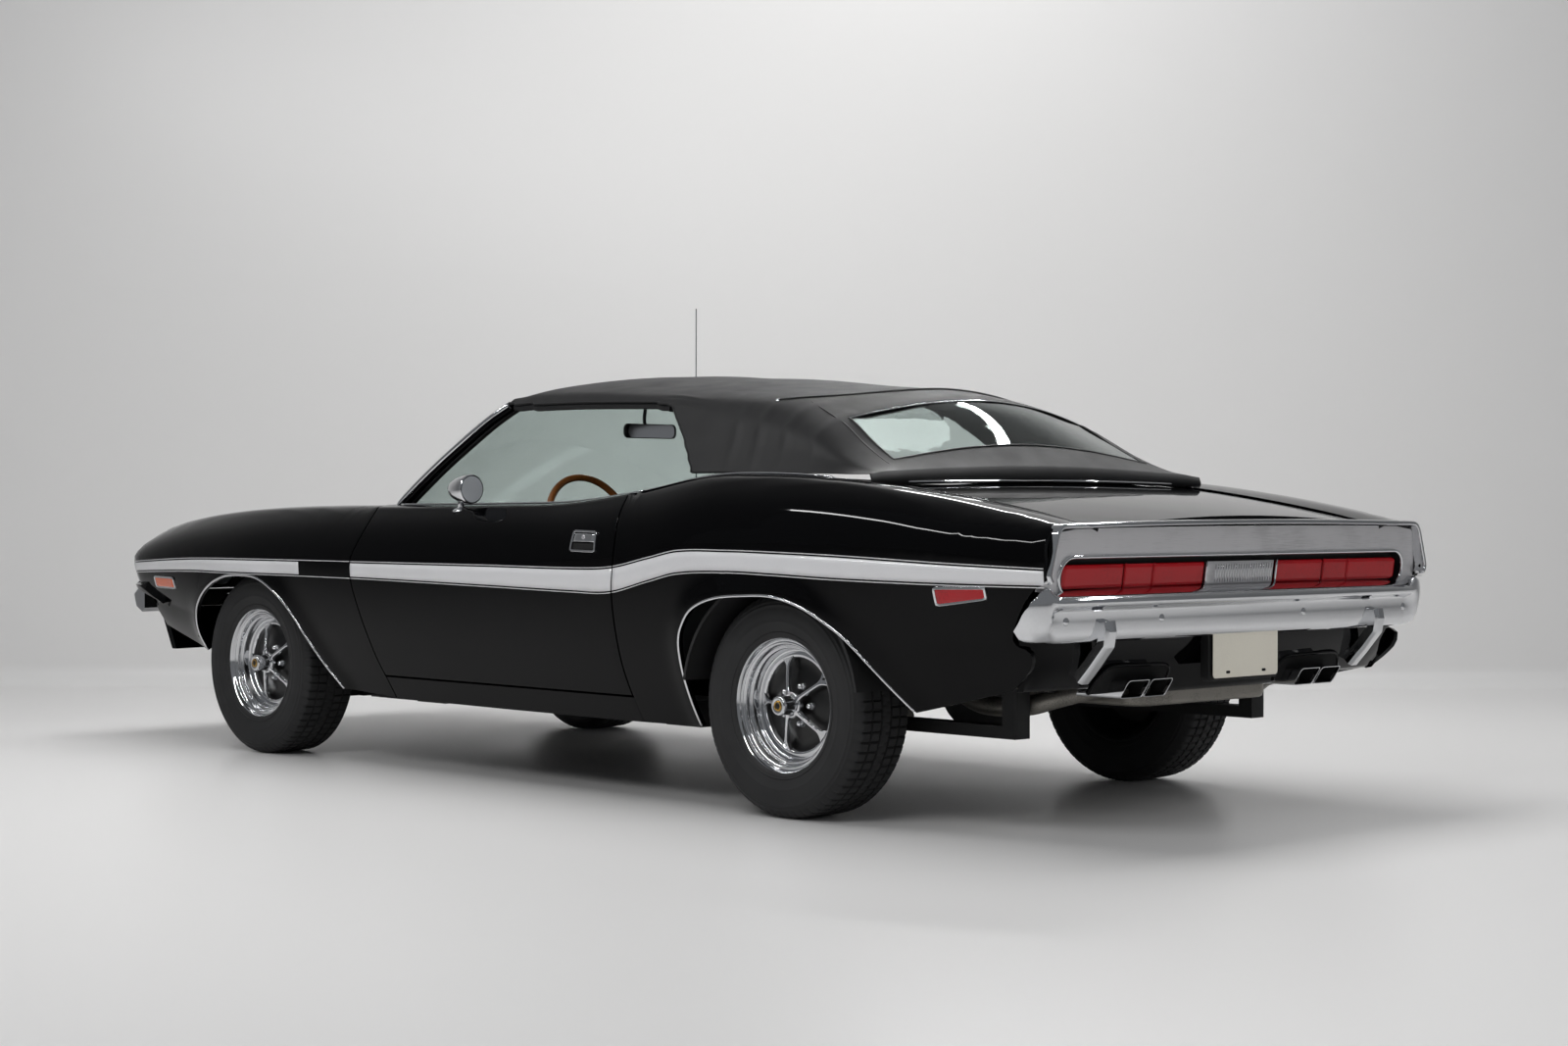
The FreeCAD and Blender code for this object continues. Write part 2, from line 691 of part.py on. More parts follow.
glass_shares = (
    ((0.270, 0.780, 0.870), (0.352, 0.0, 0.885)),
    ((0.186, 0.745, 1.055), (0.250, 0.0, 1.082)),
    ((0.108, 0.650, 1.225), (0.136, 0.0, 1.255)),
)


def glass_section(corner_share, middle_share):
    """Closed wire of the windshield at one level: two curves across the car and two short ends."""
    corner = spot(*corner_share)
    middle = spot(*middle_share)
    inward = Vector(corner.x - middle.x, 0, corner.z - middle.z).normalize()
    shift = inward * glass_thickness * 1.7
    outer = []
    for share in (1.0, 0.6, 0.2, -0.2, -0.6, -1.0):
        back = share * share
        point = middle + (corner - middle) * back
        outer.append(Vector(point.x, corner.y * share, point.z))
    inner = [point + shift for point in reversed(outer)]
    edges = [spline(outer), segment(outer[-1], inner[0]), spline(inner), segment(inner[-1], outer[0])]
    return Part.Wire(edges)


windshield = loft([glass_section(corner, middle) for corner, middle in glass_shares])
windshield = windshield.cut(windshield_frame).cut(cowl)

# Stations of the top: x, crown z, bow z at bow y, rail y and z, foot z
top_shares = (
    (-0.672, 1.015, 1.004, 0.720, 0.999, 0.992),
    (-0.642, 1.078, 1.036, 0.720, 1.014, 0.992),
    (-0.597, 1.170, 1.090, 0.715, 1.052, 0.994),
    (-0.543, 1.246, 1.157, 0.705, 1.108, 0.996),
    (-0.432, 1.278, 1.225, 0.680, 1.172, 0.998),
    (-0.268, 1.312, 1.255, 0.664, 1.216, 0.998),
    (-0.082, 1.337, 1.280, 0.660, 1.238, 0.998),
    (0.041, 1.338, 1.282, 0.658, 1.238, 0.998),
    (0.094, 1.285, 1.262, 0.650, 1.240, 0.998),
)
bow_y_share = 0.57
foot_y_share = 0.800
half_rise_share = 0.45


def top_arch(row, inset):
    """Closed wire of the soft top at a station: the outer curve and one set in by a wall."""
    x = lx(row[0])
    crown_z, bow_z, rail_y, rail_z, foot_z = hz(row[1]), hz(row[2]), wy(row[3]), hz(row[4]), hz(row[5])
    bow_y = wy(bow_y_share)
    foot_y = wy(foot_y_share)
    mid_y = (foot_y + rail_y) / 2
    mid_z = (foot_z + rail_z) / 2
    quarter_z = bow_z + (crown_z - bow_z) * 0.72
    left = [(foot_y, foot_z), (mid_y, mid_z), (rail_y, rail_z), (bow_y, bow_z), (bow_y / 2, quarter_z)]
    outer = left + [(0.0, crown_z)] + [(-y, z) for y, z in reversed(left)]
    drops = [0.0, 0.2, 0.6, 1.0, 1.0, 1.0, 1.0, 1.0, 0.6, 0.2, 0.0]
    insets = [1.0, 1.0, 0.8, 0.2, 0.0, 0.0, 0.0, -0.2, -0.8, -1.0, -1.0]
    points = [Vector(x, y, z) for y, z in outer]
    lower = []
    for point, drop, shift in zip(points, drops, insets):
        lower.append(point - Vector(0, shift * inset, drop * inset))
    lower.reverse()
    edges = [spline(points), segment(points[-1], lower[0]), spline(lower), segment(lower[-1], points[0])]
    return Part.Wire(edges)


def top_shell(inset):
    """The soft top's shell, of a given wall."""
    return loft([top_arch(row, inset) for row in top_shares])


window_shares = ((-0.542, 0.56), (-0.638, 0.61))
window_front_x, window_front_y = lx(window_shares[0][0]), wy(window_shares[0][1])
window_rear_x, window_rear_y = lx(window_shares[1][0]), wy(window_shares[1][1])
window_bow = lx(-0.022)
window_points = [
    (window_front_x, window_front_y), (window_front_x + window_bow, 0.0), (window_front_x, -window_front_y),
    (window_rear_x, -window_rear_y), (window_rear_x, window_rear_y),
]
window_cutter = plan_prism(window_points, hip_height * 0.9, hip_height * 1.5)
side_window_shares = ((0.20, 0.90), (0.20, 1.232), (-0.15, 1.228), (-0.258, 1.208), (-0.352, 1.004), (-0.36, 0.90))
side_window = side_prism([(lx(x), hz(z)) for x, z in side_window_shares], wy(0.5), wy(1.2))
soft_top = top_shell(fabric_thickness)
soft_top = soft_top.cut(window_cutter).cut(side_window).cut(other_side(side_window))
save("soft_top", soft_top)
backlight = top_shell(glass_thickness).common(window_cutter)
save("backlight_glass", backlight)


# Underbody: floor with its tunnel, firewall, hinge pillars, sills, wheelhouses, trunk floor and rails

floor_z = hz(0.240)
sill_top_z = door_bottom_height - half_gap - fit_gap
sill_inner_y = wy(0.70)
sill_outer_y = wy(0.870)
firewall_x = hood_rear_x - lx(0.012)
rear_floor_z = hz(0.460)
trunk_x = lx(-0.395)
tail_floor_x = lx(-0.945)
trunk_half = wy(0.63)
house_radius = tyre_radius + overrun / 2

floor_wall = sheet_thickness * 3
toe_x = firewall_x - lx(0.05)
step_x = trunk_x - lx(0.03)
toe_points = [(firewall_x, hz(0.40)), (toe_x, floor_z), (toe_x - floor_wall, floor_z), (toe_x - floor_wall, floor_z + floor_wall)]
toe_points += [(toe_x, floor_z + floor_wall), (firewall_x - floor_wall, hz(0.40))]
step_points = [(trunk_x + floor_wall, floor_z), (trunk_x, floor_z), (step_x - floor_wall, rear_floor_z)]
step_points += [(step_x - floor_wall, rear_floor_z + floor_wall), (step_x, rear_floor_z + floor_wall), (trunk_x + floor_wall, floor_z + floor_wall)]
toe_board = side_prism(toe_points, -trunk_half, trunk_half)
step = side_prism(step_points, -trunk_half, trunk_half)
trunk_floor = block(tail_floor_x, step_x, -trunk_half, trunk_half, rear_floor_z, rear_floor_z + floor_wall)
wide_floor = block(trunk_x, toe_x, -sill_outer_y, sill_outer_y, floor_z, floor_z + floor_wall)
firewall = block(firewall_x - floor_wall, firewall_x, -wy(0.74), wy(0.74), hz(0.40), hz(0.860))
tunnel_half = 120.0
tunnel_top_z = hz(0.40)
tunnel = block(lx(-0.42), firewall_x, -tunnel_half, tunnel_half, floor_z + sheet_thickness, tunnel_top_z)
tunnel_room = block(
    lx(-0.43), half_length, sheet_thickness * 3 - tunnel_half, tunnel_half - sheet_thickness * 3, 0,
    tunnel_top_z - sheet_thickness * 3,
)
sill = block(trunk_x, lx(0.236), sill_inner_y, sill_outer_y, floor_z, sill_top_z)
seal_width = 18.0
seal_height = door_lap
door_seal = block(
    lx(-0.26), lx(0.24), door_inner_y - fit_gap - seal_width, door_inner_y - fit_gap, sill_top_z, sill_top_z + seal_height,
)
lift_pad_length = 160.0
lift_pad_width = 70.0
lift_pad_depth = 8.0
lift_pad_y = (sill_inner_y + sill_outer_y) / 2
lift_pad_x_shares = (0.185, -0.350)
lift_pads = []
for x in (lx(share) for share in lift_pad_x_shares):
    lift_pads.append(block(
        x - lift_pad_length / 2, x + lift_pad_length / 2, lift_pad_y - lift_pad_width / 2,
        lift_pad_y + lift_pad_width / 2, floor_z - lift_pad_depth, floor_z + floor_wall,
    ))
firewall_side = block(firewall_x - floor_wall, firewall_x, trunk_half - floor_wall, wy(0.74), floor_z, hz(0.45))
hinge_pillar = block(lx(0.254), lx(0.276), wy(0.745), wy(0.825), floor_z, hz(0.862))
pillar_web = block(lx(0.262), firewall_x, wy(0.735), wy(0.745), floor_z, hz(0.860))
rail_front = block(
    firewall_x - overrun, lx(0.895), rail_inner_y, rail_inner_y + rail_width, hz(0.33), hz(0.33) + rail_height,
)
rail_rear = block(
    lx(-0.86), trunk_x, rail_inner_y + overrun * 1.5, rail_inner_y + overrun * 1.5 + rail_width,
    rear_floor_z - rail_height * 0.85, rear_floor_z,
)
apron = block(
    firewall_x - overrun / 2, lx(0.895), rail_inner_y + rail_width - sheet_thickness * 2,
    rail_inner_y + rail_width, hz(0.33), hz(0.72),
)
radiator_support = block(lx(0.885), lx(0.893), -rail_inner_y - overrun / 2, rail_inner_y + overrun / 2, hz(0.33), hz(0.69))


def wheelhouse(axle_x, inner_y, outer_y):
    """Half round cover over a wheel, open below and outside."""
    start = Vector(axle_x, inner_y, hub_height)
    depth = outer_y - inner_y
    shell = Part.makeCylinder(house_radius + sheet_thickness * 2, depth, start, Vector(0, 1, 0))
    room = Part.makeCylinder(house_radius, depth, start + Vector(0, sheet_thickness * 2, 0), Vector(0, 1, 0))
    upper = block(-half_length, half_length, inner_y, outer_y, hub_height + overrun, hip_height)
    return shell.cut(room).common(upper)


rear_house = wheelhouse(rear_axle_x, trunk_half - sheet_thickness, wy(0.965))
rear_bulkhead = block(
    lx(-0.556), lx(-0.551), -trunk_half, trunk_half, rear_floor_z, hz(0.900),
)
underbody_shapes = [wide_floor, toe_board, step, trunk_floor, firewall, tunnel, rear_bulkhead, radiator_support]
body_boxes = (sill, door_seal, firewall_side, hinge_pillar, pillar_web, rail_front, rail_rear, apron, rear_house)
for shape in body_boxes + tuple(lift_pads):
    underbody_shapes += both_sides(shape)
underbody = fuse(underbody_shapes).cut(tunnel_room).cut(valance)
for panel in (quarter, fender):
    underbody = underbody.cut(panel).cut(other_side(panel))
save("underbody", underbody)
save("windshield_frame", windshield_frame.cut(underbody).cut(soft_top))


# Cabin: dashboard with the steering column, seats and the steering wheel

dash_shares = ((0.205, 0.600), (0.178, 0.700), (0.168, 0.860), (0.190, 0.890))
dash_half = wy(0.72)
dash_points = [(cowl_rear_x, hz(0.890)), (cowl_rear_x, hz(0.620))] + [(lx(x), hz(z)) for x, z in dash_shares]
dash = side_prism(dash_points, -dash_half, dash_half).cut(windshield_frame)
wheel_centre = Vector(lx(0.041), driver_y, hz(0.829))
column_way = Vector(math.cos(column_slope), 0, -math.sin(column_slope))
hub_depth = 60.0
column_start = wheel_centre + column_way * hub_depth
column = rod(column_start, column_start + column_way * column_length, column_diameter)
dash = fuse([dash, column]).cut(underbody)
save("dashboard", dash)
windshield = windshield.cut(dash).cut(underbody).cut(fender).cut(other_side(fender))
save("windshield_glass", windshield)
save("cowl_panel", cowl.cut(underbody))

rim_ring = Part.makeTorus((wheel_rim_diameter - wheel_rim_section) / 2, wheel_rim_section / 2, wheel_centre, column_way)
wheel_hub = rod(wheel_centre + column_way * (hub_depth / 3), wheel_centre + column_way * (hub_depth - fit_gap), column_diameter * 1.6)
wheel_parts = [rim_ring, wheel_hub]
spoke_root = wheel_centre + column_way * (hub_depth / 2)
wheel_up = Vector(math.sin(column_slope), 0, math.cos(column_slope))
wheel_side = Vector(0, 1, 0)
for angle in (0, 180, 270):
    turn = math.radians(angle)
    outward = wheel_side * math.cos(turn) + wheel_up * math.sin(turn)
    tip = wheel_centre + outward * ((wheel_rim_diameter - wheel_rim_section) / 2)
    wheel_parts.append(rod(spoke_root, tip, wheel_rim_section * 0.7))
save("steering_wheel", fuse(wheel_parts))

seat_inner_y = seat_gap / 2
seat_outer_y = seat_inner_y + seat_width
cushion_shares = ((0.045, 0.300), (0.055, 0.460), (-0.175, 0.430), (-0.185, 0.300))
back_shares = ((-0.150, 0.436), (-0.195, 0.900), (-0.235, 0.905), (-0.225, 0.700), (-0.190, 0.400))
seat_cushion = side_prism([(lx(x), hz(z)) for x, z in cushion_shares], seat_inner_y, seat_outer_y)
seat_base = block(lx(-0.15), lx(0.02), seat_inner_y + overrun, seat_outer_y - overrun, floor_z + sheet_thickness * 3, hz(0.300))
seat_back = side_prism([(lx(x), hz(z)) for x, z in back_shares], seat_inner_y, seat_outer_y)
front_seat = fuse([seat_cushion, seat_base, seat_back])
save("front_seats", both_sides(front_seat))
rear_cushion_shares = ((-0.290, 0.262), (-0.280, 0.500), (-0.440, 0.490), (-0.440, 0.477), (-0.375, 0.477), (-0.375, 0.262))
rear_back_shares = ((-0.420, 0.490), (-0.460, 0.890), (-0.550, 0.890), (-0.550, 0.477), (-0.420, 0.477))
rear_seat_half = wy(0.60)
rear_cushion = side_prism([(lx(x), hz(z)) for x, z in rear_cushion_shares], -rear_seat_half, rear_seat_half)
rear_back = side_prism([(lx(x), hz(z)) for x, z in rear_back_shares], -rear_seat_half, rear_seat_half)
save("rear_seat", fuse([rear_cushion, rear_back]).cut(tunnel))


# Chassis: engine, suspension, axle, exhaust and tank

engine_x = firewall_x + overrun
engine_z = hz(0.30)
engine = block(engine_x, engine_x + engine_length, -engine_width / 2, engine_width / 2, engine_z, engine_z + engine_height)
save("engine", engine)

arm_depth = 60.0
arm_height = 24.0
kingpin_low = hub_height - kingpin_height / 2
kingpin_top = hub_height + kingpin_height / 2
lower_arm = block(
    front_axle_x - arm_depth / 2, front_axle_x + arm_depth / 2, rail_inner_y - rail_width, kingpin_y + kingpin_diameter / 2,
    kingpin_low - arm_height - fit_gap, kingpin_low - fit_gap,
)
upper_arm = block(
    front_axle_x - arm_depth / 2, front_axle_x + arm_depth / 2, rail_inner_y + rail_width, kingpin_y + kingpin_diameter / 2,
    kingpin_top + fit_gap, kingpin_top + arm_height + fit_gap,
)
cross_member = block(
    front_axle_x - arm_depth, front_axle_x + arm_depth, -rail_inner_y - rail_width, rail_inner_y + rail_width,
    kingpin_low - arm_height - fit_gap, engine_z - fit_gap,
)
member_post = block(
    front_axle_x - arm_depth / 2, front_axle_x + arm_depth / 2, rail_inner_y, rail_inner_y + rail_width,
    kingpin_low - arm_height, hz(0.33),
)
save("front_suspension", fuse([cross_member] + both_sides(lower_arm) + both_sides(member_post)))
save("upper_arms", both_sides(upper_arm))

front_hub_y = front_track / 2
rear_hub_y = rear_track / 2
drum_inner_share = 0.8
drum_inner = drum_width * drum_inner_share
spindle_length = front_hub_y - kingpin_y
kingpin = rod(Vector(front_axle_x, kingpin_y, kingpin_low), Vector(front_axle_x, kingpin_y, kingpin_top), kingpin_diameter)
spindle = rod(Vector(front_axle_x, kingpin_y, hub_height), Vector(front_axle_x, front_hub_y, hub_height), spindle_diameter)
steer_arm = block(
    front_axle_x - arm_depth * 2, front_axle_x, kingpin_y - arm_height / 2, kingpin_y + arm_height / 2,
    kingpin_low + arm_height, kingpin_low + arm_height * 2,
)
save_pair("knuckle", fuse([kingpin, spindle, steer_arm]))

axle_reach = rear_hub_y - drum_inner - fit_gap
axle = rod(Vector(rear_axle_x, -axle_reach, hub_height), Vector(rear_axle_x, axle_reach, hub_height), axle_tube_diameter)
differential = Part.makeSphere(differential_diameter / 2, Vector(rear_axle_x, 0, hub_height))
stub = rod(Vector(rear_axle_x, 0, hub_height), Vector(rear_axle_x, rear_hub_y, hub_height), spindle_diameter)
save("rear_axle", fuse([axle, differential] + both_sides(stub)))
spring_reach = lx(0.27)
spring_front_reach = lx(0.125)
spring_height = 36.0
spring_low = hub_height - axle_tube_diameter / 2 - spring_height
spring = block(
    rear_axle_x - spring_reach, rear_axle_x + spring_front_reach, spring_y - spring_width / 2, spring_y + spring_width / 2,
    spring_low, spring_low + spring_height,
)
hanger_size = 50.0
front_hanger = block(
    rear_axle_x + spring_front_reach - hanger_size, rear_axle_x + spring_front_reach, spring_y - spring_width / 2,
    spring_y + spring_width / 2, spring_low + spring_height, rear_floor_z,
)
rear_hanger = block(
    rear_axle_x - spring_reach, rear_axle_x - spring_reach + hanger_size, spring_y - spring_width / 2,
    spring_y + spring_width / 2, spring_low + spring_height, rear_floor_z,
)
leaf = fuse([spring, front_hanger, rear_hanger])
save("leaf_springs", both_sides(leaf))

exhaust_z = hz(0.205)
pipe_front = rod(Vector(lx(-0.35), wy(0.22), exhaust_z), Vector(lx(0.45), wy(0.22), exhaust_z), pipe_diameter)
pipe_hanger = block(lx(-0.30), lx(-0.28), wy(0.20), wy(0.24), exhaust_z, floor_z)
save("front_pipes", both_sides(fuse([pipe_front, pipe_hanger])))

tip_x = lx(-0.975)
tip_z = hz(0.385)
tip_length = 190.0
tip_width = 88.0
tip_height = 40.0
tip_wall = 3.0
tips = []
for shift in (-1, 1):
    tip_y = exhaust_y + shift * (tip_width / 2 + tip_wall)
    tip = block(tip_x, tip_x + tip_length, tip_y - tip_width / 2, tip_y + tip_width / 2, tip_z - tip_height, tip_z)
    room = block(
        tip_x - overrun, tip_x + tip_length - tip_wall * 4, tip_y - tip_width / 2 + tip_wall,
        tip_y + tip_width / 2 - tip_wall, tip_z - tip_height + tip_wall, tip_z - tip_wall,
    )
    tips.append(tip.cut(room))
tip_block = block(
    tip_x + tip_length - tip_wall, tip_x + tip_length + overrun, exhaust_y - tip_width, exhaust_y + tip_width,
    tip_z - tip_height, tip_z,
)
tip_post = block(
    tip_x + tip_length, tip_x + tip_length + overrun, exhaust_y - tip_width / 2, exhaust_y, tip_z, rear_floor_z,
)
muffler_x = lx(-0.80)
save("exhaust_tips", both_sides(fuse(tips + [tip_block, tip_post])))

tank_half = wy(0.34)
tank = block(lx(-0.93), lx(-0.72), -tank_half, tank_half, hz(0.225), rear_floor_z - fit_gap)
save("fuel_tank", tank)


# Wheels

def tyre_shape():
    """Tyre about the Y axis at the origin, its tread and sidewalls turned from one profile."""
    half = tyre_width / 2
    inner = rim_diameter / 2
    outer = tyre_radius
    side = [(inner, 0.76), (inner + (outer - inner) * 0.16, 0.84), (inner + (outer - inner) * 0.42, 0.985)]
    side += [(inner + (outer - inner) * 0.62, 1.0), (inner + (outer - inner) * 0.86, 0.95)]
    side += [(outer - (outer - inner) * 0.04, 0.84)]
    left = [Vector(radius, half * share, 0) for radius, share in side]
    right = [Vector(point.x, -point.y, 0) for point in reversed(left)]
    tread_start = Vector(outer, half * 0.70, 0)
    tread_end = Vector(outer, -half * 0.70, 0)
    edges = [spline(left), segment(left[-1], tread_start), segment(tread_start, tread_end)]
    edges += [segment(tread_end, right[0]), spline(right), segment(right[-1], left[0])]
    return Part.Face(Part.Wire(edges)).revolve(Vector(0, 0, 0), Vector(0, 1, 0), 360)


def rim_shape():
    """Rim, spider, cap, nuts and drum about the Y axis, with the outer face towards +Y."""
    half = rim_width / 2
    seat = rim_diameter / 2
    lip = flange_diameter / 2
    wall = rim_wall
    profile = [
        (lip, half), (lip, half - wall), (seat, half - wall * 1.4), (seat, wall * 1.4 - half), (lip, wall - half),
        (lip, -half), (seat - wall, wall * 0.4 - half), (seat - wall, -half * 0.6), (seat - wall * 2.6, -half * 0.5),
        (seat - wall * 2.6, half * 0.2), (seat - wall, half * 0.42), (seat - wall, half - wall * 1.6),
        (lip - wall, half),
    ]
    face = Part.Face(polygon([Vector(radius, y, 0) for radius, y in profile]))
    parts = [face.revolve(Vector(0, 0, 0), Vector(0, 1, 0), 360)]
    spoke_face = half - spoke_inset
    back = spoke_face - spoke_depth
    tip_radius = seat - wall * 1.5
    fork_radius = tip_radius * 0.68
    hub_radius = hub_diameter / 2
    for index in range(spoke_count):
        blade = [
            (-spoke_width * 0.7, 0), (-spoke_width / 2, fork_radius * 0.8), (-fork_spread, tip_radius),
            (-fork_spread + spoke_width * 0.7, tip_radius), (0, fork_radius),
            (fork_spread - spoke_width * 0.7, tip_radius), (fork_spread, tip_radius),
            (spoke_width / 2, fork_radius * 0.8), (spoke_width * 0.7, 0),
        ]
        blade_solid = side_prism(blade, back, spoke_face)
        blade_solid.rotate(Vector(0, 0, 0), Vector(0, 1, 0), 360.0 * index / spoke_count)
        parts.append(blade_solid)
    hub = Part.makeCone(hub_radius, hub_radius * 0.7, spoke_depth * 1.3, Vector(0, back, 0), Vector(0, 1, 0))
    cap = Part.makeCylinder(cap_diameter / 2, cap_length, Vector(0, back + spoke_depth, 0), Vector(0, 1, 0))
    drum = Part.makeCylinder(drum_diameter / 2, back + drum_inner, Vector(0, -drum_inner, 0), Vector(0, 1, 0))
    parts += [hub, cap, drum]
    for index in range(stud_count):
        turn = 2 * math.pi * (index + 0.5) / stud_count
        foot = Vector(stud_circle / 2 * math.sin(turn), back, stud_circle / 2 * math.cos(turn))
        parts.append(Part.makeCylinder(stud_diameter / 2, spoke_depth * 2, foot, Vector(0, 1, 0)))
    wheel = fuse(parts)
    bore = Part.makeCylinder(
        spindle_diameter / 2 + fit_gap, drum_width + fit_gap, Vector(0, -drum_width + fit_gap, 0), Vector(0, 1, 0),
    )
    return wheel.cut(bore)


rim = rim_shape()
tyre = tyre_shape().cut(rim)
for name, axle_x, hub_y in (("front", front_axle_x, front_hub_y), ("rear", rear_axle_x, rear_hub_y)):
    for part_name, shape in (("tyre", tyre), ("rim", rim)):
        placed = shape.copy()
        placed.translate(Vector(axle_x, hub_y, hub_height))
        save_pair(part_name + "_" + name, placed)


# Small pieces on the body

marker_front_shares = ((0.866, 0.625), (0.798, 0.625), (0.802, 0.585), (0.860, 0.585))
marker_rear_shares = ((-0.837, 0.686), (-0.914, 0.686), (-0.908, 0.636), (-0.841, 0.636))
markers = []
for shares in (marker_front_shares, marker_rear_shares):
    start_x, end_x = sorted((lx(shares[1][0]), lx(shares[0][0])))
    outline = [(lx(x), hz(z)) for x, z in shares]
    raised = side_wall(start_x - overrun, end_x + overrun, skin, inset=-trim_thickness)
    marker = raised.common(side_prism(outline, wy(0.7), wy(1.1)))
    marker = marker.cut(quarter if start_x < 0 else fender)
    markers += both_sides(marker)
save("side_markers", markers)

handle_shares = ((-0.204, 0.822), (-0.250, 0.822), (-0.256, 0.760), (-0.210, 0.760))
handle_x = lx(-0.230)
handle_y = side_y(handle_x, hz(0.79))
handle = side_prism([(lx(x), hz(z)) for x, z in handle_shares], handle_y - trim_thickness * 2, handle_y + trim_thickness)
handle = handle.cut(door)
save_pair("door_handle", handle)

mirror_foot = Vector(lx(0.082), wy(0.895), hz(0.889))
mirror_head = Vector(lx(0.050), wy(0.938), hz(0.952))
mirror_stalk = rod(mirror_foot, mirror_head, mirror_diameter / 5)
mirror_pod = Part.makeCone(
    mirror_diameter / 2, mirror_diameter / 4, mirror_length * 0.8,
    mirror_head - Vector(mirror_length * 0.4, 0, 0), Vector(1, 0, 0),
)
save("door_mirror", fuse([mirror_stalk, mirror_pod]).cut(door))

aerial_foot = Vector(lx(0.333), -wy(0.776), hz(0.897))
aerial_top = Vector(aerial_foot.x, aerial_foot.y, aerial_height)
aerial_base = Part.makeCylinder(aerial_foot_diameter / 2, aerial_foot_diameter / 2, aerial_foot, Vector(0, 0, 1))
aerial = fuse([rod(aerial_foot, aerial_top, aerial_diameter), aerial_base])
save("aerial", aerial.cut(other_side(fender)))
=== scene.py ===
"""Black muscle car convertible: its finishes and fine forms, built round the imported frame."""

import logging
import math
from collections.abc import Callable, Sequence
from dataclasses import dataclass
from enum import Enum

import bmesh
import bpy
from mathutils import Matrix, Vector


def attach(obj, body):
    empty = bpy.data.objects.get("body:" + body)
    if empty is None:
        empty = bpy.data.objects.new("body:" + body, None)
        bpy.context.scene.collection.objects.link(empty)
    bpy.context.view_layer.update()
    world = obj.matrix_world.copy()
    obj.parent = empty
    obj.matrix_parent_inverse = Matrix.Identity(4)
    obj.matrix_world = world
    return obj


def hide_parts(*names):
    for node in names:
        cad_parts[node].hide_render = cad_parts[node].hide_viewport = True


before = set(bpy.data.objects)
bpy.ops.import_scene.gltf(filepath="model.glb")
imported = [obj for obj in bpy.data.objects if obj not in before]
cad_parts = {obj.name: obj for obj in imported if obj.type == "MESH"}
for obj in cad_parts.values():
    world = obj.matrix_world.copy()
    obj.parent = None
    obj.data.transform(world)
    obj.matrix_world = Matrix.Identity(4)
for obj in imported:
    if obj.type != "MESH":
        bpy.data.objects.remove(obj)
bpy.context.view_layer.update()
log = logging.getLogger("muscle_car")

Point = tuple[float, float]
Row = Sequence[float]
Turn = Callable[[Sequence[Vector]], list[Vector]]


# Finishes

def linear(hex_colour: str, alpha: float = 1.0) -> tuple[float, float, float, float]:
    """Turn an sRGB hex colour into linear values.

    Args:
        hex_colour: six hex digits, such as "1a1a1c".
        alpha: the fourth value.

    Returns:
        Red, green, blue and alpha.
    """
    values = [int(hex_colour[start:start + 2], 16) / 255 for start in (0, 2, 4)]
    red, green, blue = [v / 12.92 if v <= 0.04045 else ((v + 0.055) / 1.055) ** 2.4 for v in values]
    return red, green, blue, alpha


def add_node(
    tree: bpy.types.NodeTree,
    kind: str,
    settings: dict[str, object] | None = None,
    links: dict[str, bpy.types.NodeSocket] | None = None,
) -> bpy.types.Node:
    """Add a node with its settings and links.

    Args:
        tree: the material's node tree.
        kind: the node's type.
        settings: values by input name, or by the node's own attribute name.
        links: sockets that feed inputs, by input name.

    Returns:
        The new node.
    """
    node = tree.nodes.new(kind)
    for name, value in (settings or {}).items():
        if name in node.inputs:
            node.inputs[name].default_value = value
        else:
            setattr(node, name, value)
    for name, socket in (links or {}).items():
        tree.links.new(socket, node.inputs[name])
    return node


class Making(Enum):
    """How a surface was made, which says what fine structure it has."""

    SPRAYED = "sprayed"
    PLATED = "plated"
    BRUSHED = "brushed"
    MOULDED = "moulded"
    GRAINED = "grained"
    CAST = "cast"
    CLEAR = "clear"
    FIGURED = "figured"


